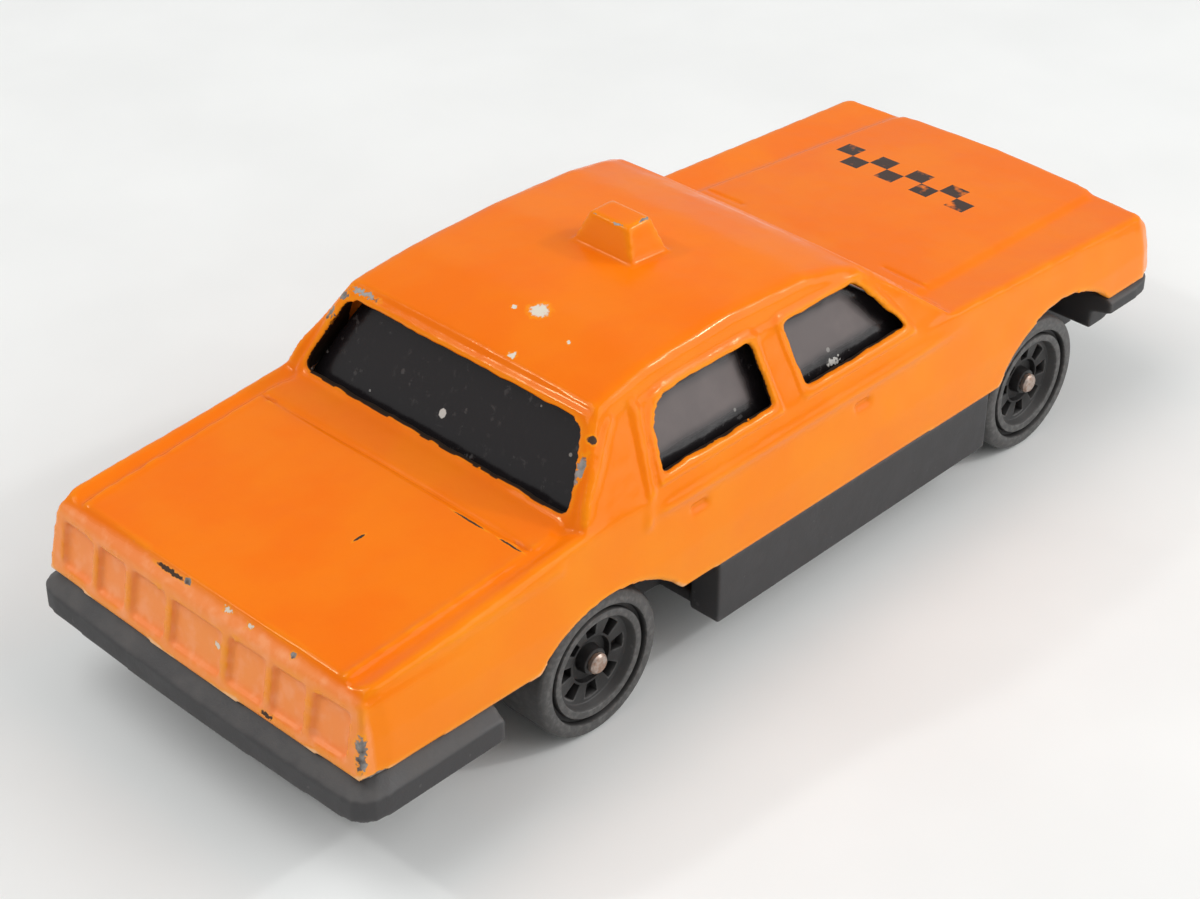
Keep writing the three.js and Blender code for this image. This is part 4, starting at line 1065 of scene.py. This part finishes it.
@dataclass
class CastBody(SoftCopy):
    """The zinc casting under its thick enamel."""

    node: str = "body_shell"
    name: str = "cast_body"
    slot: Slot = Slot.ENAMEL
    voxel: float = 0.16
    rounds: int = 5
    panel_rounds: int = 90
    belt_height: float = 13.35
    belt_ridge: float = 0.2
    belt_width: float = 0.35
    belt_rear: Pair = (-14.5, -12.5)
    belt_front: Pair = (16.0, 10.0)
    belt_flank: Pair = (11.6, 12.0)
    belt_facing: Pair = (0.5, 0.8)
    ledge_rise: float = 0.85
    ledge_depth: float = 0.08
    ledge_width: float = 0.4
    panel_facing: Pair = (0.9, 0.97)
    panel_height: Pair = (12.4, 12.6)
    panel_core: Pair = (0.8, 0.98)
    panel_margin: int = 40
    panel_factor: float = 0.6
    far: float = 99.0
    edge_reach: float = 2.6
    skin_facing: float = 0.6
    skin_depth: float = 0.35
    ruffle: float = 0.1
    ruffle_scale: float = 0.8
    ruffle_reach: float = 1.0
    quick_scale: float = 2.7
    quick_share: float = 0.5
    reveal_shade: Pair = (0.02, 0.14)
    reveal_end: float = 3.0
    bead_scale: float = 1.3
    bead_uneven: float = 0.6
    bead_least: float = 0.01
    openings: Array = field(default_factory=lambda: np.zeros((0, 3)))
    beads: tuple[Bead, ...] = (
        Bead((-35.0, -11.0, 13.05), (-20.4, -11.2, 14.15), 0.15, 0.24),
        Bead((-15.0, -10.4, 18.9), (-18.9, -12.1, 15.0), 0.22, 0.32),
        Bead((-12.7, -10.45, 18.7), (-14.4, -13.0, 13.0), 0.16, 0.34),
        Bead((-34.6, -12.7, 13.05), (-21.3, -12.9, 13.44), 0.1, 0.3),
        Bead((-12.3, -10.3, 18.95), (6.5, -10.3, 19.0), 0.1, 0.26),
    )
    window_planes: tuple[WindowPlane, ...] = (
        WindowPlane((-0.85, 0.0, 0.53), 24.0, (-20.0, -11.6, 14.2), (-15.2, 11.6, 19.4)),
        WindowPlane((0.615, 0.0, 0.788), 19.83, (6.4, -11.6, 14.6), (14.2, 11.6, 19.5)),
        WindowPlane((0.0, -0.88, 0.47), 17.98, (-13.0, -13.0, 14.4), (10.4, -9.0, 19.1)),
        WindowPlane((0.0, 0.88, 0.47), 17.98, (-13.0, 9.0, 14.4), (10.4, 13.0, 19.1)),
    )

    def shape(self, piece: Piece) -> None:
        """Smooths the panels, then adds the belt line, the runs of paint and the uneven window edges.

        Args:
            piece: The remeshed casting.
        """
        self._settle_panels(piece)
        for change in (self._raise_belt, self._run_beads, self._ruffle_windows):
            points, normals, _ = mesh_arrays(piece.data)
            change(points, normals)
            put_points(piece.data, points)

    def _window_edges(self, points: Array, normals: Array) -> Array:
        """Measures how deep the points on the edges of the openings lie under the windows' outer planes.

        Args:
            points: Points in millimetres.
            normals: The points' normals.

        Returns:
            Depths in millimetres, or a large number away from the edges.
        """
        depths = np.full(len(points), self.far)
        skin = np.zeros(len(points), bool)
        for plane in self.window_planes:
            depth = plane.level - points @ np.array(plane.normal)
            facing = normals @ np.array(plane.normal)
            low, high = np.array(plane.low), np.array(plane.high)
            inside = ((points >= low) & (points <= high)).all(1)
            near = inside & (np.abs(depth) < self.edge_reach) & (facing < self.skin_facing)
            depths = np.where(near & (np.abs(depth) < np.abs(depths)), depth, depths)
            skin |= (facing > self.skin_facing) & (np.abs(depth) < self.skin_depth)
        return np.where(skin, self.far, depths)

    def mark(self, piece: Piece) -> None:
        """Stores where the walls of the window openings are, to be coloured near black: painted shade in the
        recesses, together with unpainted dark metal.

        Args:
            piece: The finished casting.
        """
        points, normals, _ = mesh_arrays(piece.data)
        depths = self._window_edges(points, normals)
        reveal_shade = ramp(depths, *self.reveal_shade) * (depths < self.reveal_end)
        store(piece.data, "reveal_shade", reveal_shade)
        self.openings = points[reveal_shade > 0.5]

    def _raise_belt(self, points: Array, normals: Array) -> None:
        """Raises the rounded belt line below the side windows and sinks the ledge over it.

        Args:
            points: Points of the casting in millimetres, which move.
            normals: The points' normals.
        """
        outward = ramp(np.abs(normals[:, 1]), *self.belt_facing)
        outward = outward * ramp(np.abs(points[:, 1]), *self.belt_flank)
        outward = outward * (np.sign(normals[:, 1]) == np.sign(points[:, 1]))
        span = ramp(points[:, 0], *self.belt_rear) * ramp(points[:, 0], *self.belt_front)
        above = points[:, 2] - self.belt_height
        ridge = np.exp(-((above / self.belt_width) ** 2)) * self.belt_ridge
        ledge = np.exp(-(((above - self.ledge_rise) / self.ledge_width) ** 2)) * self.ledge_depth
        points[:, 1] += np.sign(points[:, 1]) * outward * span * (ridge - ledge)

    def _run_beads(self, points: Array, normals: Array) -> None:
        """Thickens the paint in uneven runs along the creases.

        Args:
            points: Points of the casting in millimetres, which move.
            normals: The points' normals.
        """
        rise = np.zeros(len(points))
        for bead in self.beads:
            for side in (1.0, -1.0):
                start = np.array(bead.start) * (1.0, side, 1.0)
                line = np.array(bead.end) * (1.0, side, 1.0) - start
                along = np.clip((points - start) @ line / (line @ line), 0.0, 1.0)
                away = np.linalg.norm(points - start - along[:, None] * line, axis=1)
                rise = np.maximum(rise, bead.height * np.exp(-((away / bead.width) ** 2)))
        for index in np.nonzero(rise > self.bead_least)[0]:
            uneven = noise.noise(Vector(points[index]) * self.bead_scale)
            points[index] += normals[index] * rise[index] * (1.0 + self.bead_uneven * uneven)

    def _ruffle_windows(self, points: Array, normals: Array) -> None:
        """Makes the edges of the window openings a little uneven, as thick paint leaves them.

        Args:
            points: Points of the casting in millimetres, which move.
            normals: The points' normals.
        """
        depths = self._window_edges(points, normals)
        for index in np.nonzero(np.abs(depths) < self.ruffle_reach)[0]:
            place = Vector(points[index])
            slow = noise.noise_vector(place * self.ruffle_scale)
            quick = noise.noise_vector(place * self.ruffle_scale * self.quick_scale)
            points[index] += np.array(slow + quick * self.quick_share) * self.ruffle

    def _settle_panels(self, piece: Piece) -> None:
        """Runs the flat steps of the roof and the lids into one smooth curve.

        Args:
            piece: The remeshed casting.
        """
        points, normals, edges = mesh_arrays(piece.data)
        flat = ramp(normals[:, 2], *self.panel_facing) * ramp(points[:, 2], *self.panel_height)
        inner = spread(flat.astype(float), edges, self.panel_margin)
        weigh(piece, "panels", ramp(inner, *self.panel_core))
        settings = {"factor": self.panel_factor, "iterations": self.panel_rounds}
        finish_with(piece, "SMOOTH", vertex_group="panels", **settings)


@dataclass
class Glazing(SoftCopy):
    """The black moulding behind the window openings."""

    node: str = "window_insert"
    name: str = "glazing_moulding"
    slot: Slot = Slot.GLAZING
    voxel: float = 0.16
    rounds: int = 4
    most_triangles: int = 220000
    border: Pair = (0.8, 1.4)
    pane_facing: Pair = (0.7, 0.85)
    casting: CastBody = field(default_factory=CastBody)

    def mark(self, piece: Piece) -> None:
        """Stores where the side panes carry a painted grey reflection of the bright room, clear of the edges
        of their openings, which stay black.

        Args:
            piece: The finished glazing.
        """
        points, normals, _ = mesh_arrays(piece.data)
        film = ramp(np.abs(normals[:, 1]), *self.pane_facing)
        tree = kdtree.KDTree(len(self.casting.openings))
        for index, place in enumerate(self.casting.openings):
            tree.insert(place, index)
        tree.balance()
        for index in np.nonzero(film > 0)[0]:
            film[index] *= ramp(np.array(tree.find(points[index])[2]), *self.border)
        store(piece.data, "side_pane_reflection", film)


@dataclass
class BasePlate(SoftCopy):
    """The plastic base with its bumpers and sills."""

    node: str = "base_plate"
    name: str = "base_moulding"
    slot: Slot = Slot.BASE
    voxel: float = 0.13
    rounds: int = 3


@dataclass
class TurnedSet:
    """Pieces alike that are turned once and copied to their seats."""

    slot: Slot
    ending: str
    seats: dict[str, Body]
    steps: int
    axis: Triple = (0, 1, 0)
    smooth_angle: float = 35

    def build(self, finishes: Finishes) -> None:
        """Turns one piece, copies it to each seat and dresses the copies.

        Args:
            finishes: The car's finishes.
        """
        pattern = turned(f"{self.ending}_pattern", self.profile(), self.steps, self.axis)
        self.shape(pattern)
        for node, body in self.seats.items():
            piece = moved_copy(pattern, f"{node}_{self.ending}", self.place(*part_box(node)))
            self.mark(piece)
            smooth_shade(piece, self.smooth_angle)
            finishes.dress(piece, self.slot, body, node)
        bpy.data.objects.remove(pattern, do_unlink=True)

    def profile(self) -> list[Pair]:
        """Returns the closed section of a piece."""
        raise NotImplementedError

    def place(self, low: Vector, high: Vector) -> Matrix:
        """Returns where a copy goes in its node's box."""
        return Matrix.Translation((low + high) / 2)

    def shape(self, pattern: Piece) -> None:
        """Changes the turned pattern, where a piece needs that."""

    def mark(self, piece: Piece) -> None:
        """Stores marks for the finish on a copy, where a piece needs them."""


@dataclass
class WheelSet(TurnedSet):
    """Four one-piece wheels."""

    slot: Slot = Slot.WHEEL
    ending: str = "moulding"
    seats: dict[str, Body] = field(
        default_factory=lambda: {
            "wheel_rear_left": Body.REAR_LEFT,
            "wheel_rear_right": Body.REAR_RIGHT,
            "wheel_front_left": Body.FRONT_LEFT,
            "wheel_front_right": Body.FRONT_RIGHT,
        }
    )
    steps: int = 96
    smooth_angle: float = 40
    bevel: float = 0.05
    bevel_angle: float = 35
    half_width: float = 2.0
    radius: float = 4.8
    bore: float = 0.58
    hub_face: float = 1.55
    dish_face: float = 1.25
    slots: int = 8
    slot_share: float = 0.42
    slot_inner: float = 1.66
    slot_outer: float = 2.62
    slot_depth: float = 0.6
    slot_shade: Pair = (0.8, 0.95)
    well_shade: Pair = (1.86, 1.7)
    groove_shade: Pair = (0.2, 0.4)
    groove_radii: Pair = (3.48, 3.9)
    shaded_radii: Pair = (0.7, 2.7)
    shaded_floor: float = 0.2
    level_within: float = 0.05
    edge_rounds: int = 2

    def profile(self) -> list[Pair]:
        """Draws the section of a wheel, outer face toward +Y.

        Returns:
            The closed section in millimetres.
        """
        face = self.half_width
        tread = self.radius
        return [
            (self.bore, self.hub_face),
            (0.85, self.hub_face),
            (0.9, self.dish_face - 0.4),
            (1.46, self.dish_face - 0.4),
            (1.5, self.dish_face),
            (self.slot_inner, self.dish_face),
            (self.slot_outer, self.dish_face),
            (2.9, self.dish_face),
            (3.05, face - 0.12),
            (3.5, face - 0.1),
            (3.54, face - 0.5),
            (3.84, face - 0.5),
            (3.88, face - 0.02),
            (4.4, face),
            (4.66, face - 0.14),
            (tread, face - 0.42),
            (tread, -face + 0.36),
            (4.45, -face),
            (3.7, -face),
            (3.6, self.dish_face - 1.2),
            (1.35, self.dish_face - 1.2),
            (1.25, -face),
            (self.bore, -face),
            (self.bore, self.hub_face),
        ]

    def place(self, low: Vector, high: Vector) -> Matrix:
        """Puts a wheel in its box, with its outer face away from the car.

        Args:
            low: The lowest corner of the box.
            high: The highest corner of the box.

        Returns:
            The wheel's place.
        """
        middle = (low + high) / 2
        turn = Matrix.Rotation(math.pi if middle.y < 0 else 0.0, 4, "Z")
        return Matrix.Translation(middle) @ turn

    def shape(self, pattern: Piece) -> None:
        """Sinks the slots and breaks the edges.

        Args:
            pattern: The turned wheel, about its own middle.
        """
        self._sink_slots(pattern)
        edges = {"limit_method": "ANGLE", "angle_limit": math.radians(self.bevel_angle)}
        finish_with(pattern, "BEVEL", width=self.bevel * MM, segments=2, **edges)
        close_up(pattern)
        self._mark_recess_shade(pattern)

    def mark(self, piece: Piece) -> None:
        """Measures the wheel's edges."""
        measure_surface(piece, self.edge_rounds)

    def _mark_recess_shade(self, pattern: Piece) -> None:
        """Stores where the slots, the hub well and the groove lie below the wheel's face, for painted shade
        there.

        Args:
            pattern: The finished wheel, about its own middle.
        """
        points, _, _ = mesh_arrays(pattern.data)
        radius = np.hypot(points[:, 0], points[:, 2])
        below = self.half_width - points[:, 1]
        inner, outer = self.shaded_radii
        well = ramp(below, *self.slot_shade) * (radius < outer)
        well = np.maximum(well, ramp(radius, *self.well_shade)) * (radius > inner)
        inner, outer = self.groove_radii
        groove = ramp(below, *self.groove_shade) * (radius > inner) * (radius < outer)
        store(pattern.data, "recess_shade", np.maximum(well, groove) * (points[:, 1] > self.shaded_floor))

    def _sink_slots(self, pattern: Piece) -> None:
        """Sinks the slots between the spokes into the wheel's face.

        Args:
            pattern: The turned wheel, about its own middle.
        """
        take(pattern)
        edit_mode()
        bpy.ops.mesh.select_mode(type="FACE")
        bpy.ops.mesh.select_all(action="DESELECT")
        object_mode()
        for face in pattern.data.polygons:
            middle = face.center / MM
            radius = math.hypot(middle.x, middle.z)
            turn = math.atan2(middle.z, middle.x) / math.tau * self.slots
            within = abs(turn - round(turn)) < self.slot_share / 2
            level = abs(middle.y - self.dish_face) < self.level_within
            face.select = within and level and self.slot_inner < radius < self.slot_outer
        edit_mode()
        inward = {"value": (0, -self.slot_depth * MM, 0)}
        bpy.ops.mesh.extrude_region_move(TRANSFORM_OT_translate=inward)
        bpy.ops.mesh.select_mode(type="VERT")
        object_mode()


@dataclass
class Axles(TurnedSet):
    """Two drawn wires with peened heads."""

    slot: Slot = Slot.WIRE
    ending: str = "wire"
    seats: dict[str, Body] = field(
        default_factory=lambda: {"rear_axle": Body.REAR_AXLE, "front_axle": Body.FRONT_AXLE}
    )
    steps: int = 32
    wire: float = 0.49
    head: float = 0.65
    head_height: float = 0.4

    def profile(self) -> list[Pair]:
        """Draws the section of an axle, from head to head.

        Returns:
            The section in millimetres.
        """
        low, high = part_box("rear_axle")
        tip = (high.y - low.y) / 2 / MM
        seat = tip - self.head_height
        half = [
            (self.wire, seat),
            (self.head, seat),
            (self.head, tip - 0.2),
            (self.head * 0.82, tip - 0.06),
            (self.head * 0.45, tip),
            (0.0, tip - 0.03),
        ]
        return [(radius, -place) for radius, place in reversed(half)] + half


@dataclass
class Rivets(TurnedSet):
    """Two rivets that hold the base to the casting."""

    slot: Slot = Slot.RIVET
    ending: str = "head"
    seats: dict[str, Body] = field(
        default_factory=lambda: {"rear_rivet": Body.CHASSIS, "front_rivet": Body.CHASSIS}
    )
    steps: int = 40
    axis: Triple = (0, 0, 1)

    def place(self, low: Vector, high: Vector) -> Matrix:
        """Returns where a rivet goes, its head at the foot of the box."""
        return Matrix.Translation(Vector(((low.x + high.x) / 2, (low.y + high.y) / 2, low.z)))

    def profile(self) -> list[Pair]:
        """Draws the section of a rivet, from its head up.

        Returns:
            The section in millimetres.
        """
        low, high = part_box("rear_rivet")
        height = (high.z - low.z) / MM
        head = (high.x - low.x) / 2 / MM
        return [
            (0.0, 0.16),
            (head * 0.3, 0.16),
            (head * 0.42, 0.0),
            (head * 0.75, 0.02),
            (head * 0.95, 0.2),
            (head * 0.99, 0.45),
            (head * 0.99, 0.7),
            (head * 0.5, 0.72),
            (head * 0.5, height),
            (0.0, height),
        ]


@dataclass(frozen=True)
class Lamp:
    """A square lamp that faces the car, in metres and watts."""

    name: str
    place: Triple
    size: float
    power: float

    def hang(self) -> None:
        """Hangs the lamp."""
        data = bpy.data.lights.new(self.name, "AREA")
        data.size = self.size
        data.energy = self.power
        lamp = bpy.data.objects.new(self.name, data)
        lamp.location = self.place
        lamp.rotation_euler = (-Vector(self.place)).to_track_quat("-Z", "Y").to_euler()
        bpy.context.scene.collection.objects.link(lamp)


@dataclass
class Studio:
    """Pale floor, soft light and the camera."""

    effects: Effects
    floor_colour: Triple = (0.86, 0.87, 0.86)
    floor_size: float = 3.0
    floor_mottle: float = 0.96
    floor_grain: float = 0.05
    floor_tone: Pair = (0.3, 0.7)
    floor_roughness: float = 0.8
    floor_gloss: float = 0.2
    world_level: float = 0.45
    eye: Triple = (-0.0996699, -0.0900721, 0.0955517)
    right: Triple = (0.69298528, -0.7209342, 0.00502855)
    up: Triple = (0.40018296, 0.3904518, 0.82909649)
    back: Triple = (-0.59968742, -0.57253932, 0.55908293)
    lens: float = 76.144
    nearest: float = 0.005
    shift: Pair = (0.00597, -0.00077)
    lamps: tuple[Lamp, ...] = (
        Lamp("key_lamp", (0.2, -0.32, 0.25), 0.4, 1.04),
        Lamp("rear_lamp", (-0.2, 0.14, 0.45), 0.36, 0.88),
        Lamp("side_glint", (0.3, -0.28, 0.29), 0.028, 0.4),
        Lamp("tail_glint", (-0.26, 0.25, 0.32), 0.028, 0.26),
    )

    def build(self) -> None:
        """Sets up the floor, the light and the camera."""
        self._floor()
        self._light()
        self._camera()
        bpy.context.scene.view_settings.view_transform = "Standard"

    def _floor(self) -> None:
        """Lays a pale sheet of card under the car."""
        bpy.ops.object.select_all(action="DESELECT")
        bpy.ops.mesh.primitive_plane_add(size=self.floor_size, location=(0, 0, 0))
        floor = bpy.context.active_object
        floor.name = "floor_card"
        coat = Coat("pale card", self.effects)
        grain = coat.noise(coat.place, self.floor_grain)
        tone = coat.between(grain.outputs["Fac"], *self.floor_tone)
        shade = tuple(value * self.floor_mottle for value in self.floor_colour)
        coat.put("Base Color", coat.mix(tone, shade, self.floor_colour))
        coat.put("Roughness", self.floor_roughness)
        coat.put("Specular IOR Level", self.floor_gloss)
        floor.data.materials.append(coat.material)

    def _light(self) -> None:
        """Hangs the lamps and an even sky."""
        scene = bpy.context.scene
        world = bpy.data.worlds.new("soft sky")
        world.use_nodes = True
        sky = world.node_tree.nodes["Background"]
        sky.inputs["Color"].default_value = (1.0, 1.0, 1.0, 1.0)
        sky.inputs["Strength"].default_value = self.world_level
        scene.world = world
        for lamp in self.lamps:
            lamp.hang()

    def _camera(self) -> None:
        """Sets the camera at the photograph's viewing angle."""
        data = bpy.data.cameras.new("photo_camera")
        data.lens = self.lens
        data.shift_x, data.shift_y = self.shift
        data.clip_start = self.nearest
        camera = bpy.data.objects.new("photo_camera", data)
        axes = Matrix((self.right, self.up, self.back)).transposed().to_4x4()
        camera.matrix_world = Matrix.Translation(self.eye) @ axes
        bpy.context.scene.collection.objects.link(camera)
        bpy.context.scene.camera = camera


def main() -> None:
    """Builds the car and its studio."""
    logging.basicConfig(level=logging.INFO, format="%(name)s: %(message)s")
    effects = Effects()
    Studio(effects).build()
    finishes = Finishes(effects)
    casting = CastBody()
    for assembly in (casting, Glazing(casting=casting), BasePlate(), WheelSet(), Axles(), Rivets()):
        assembly.build(finishes)


if __name__ == "__main__":
    main()
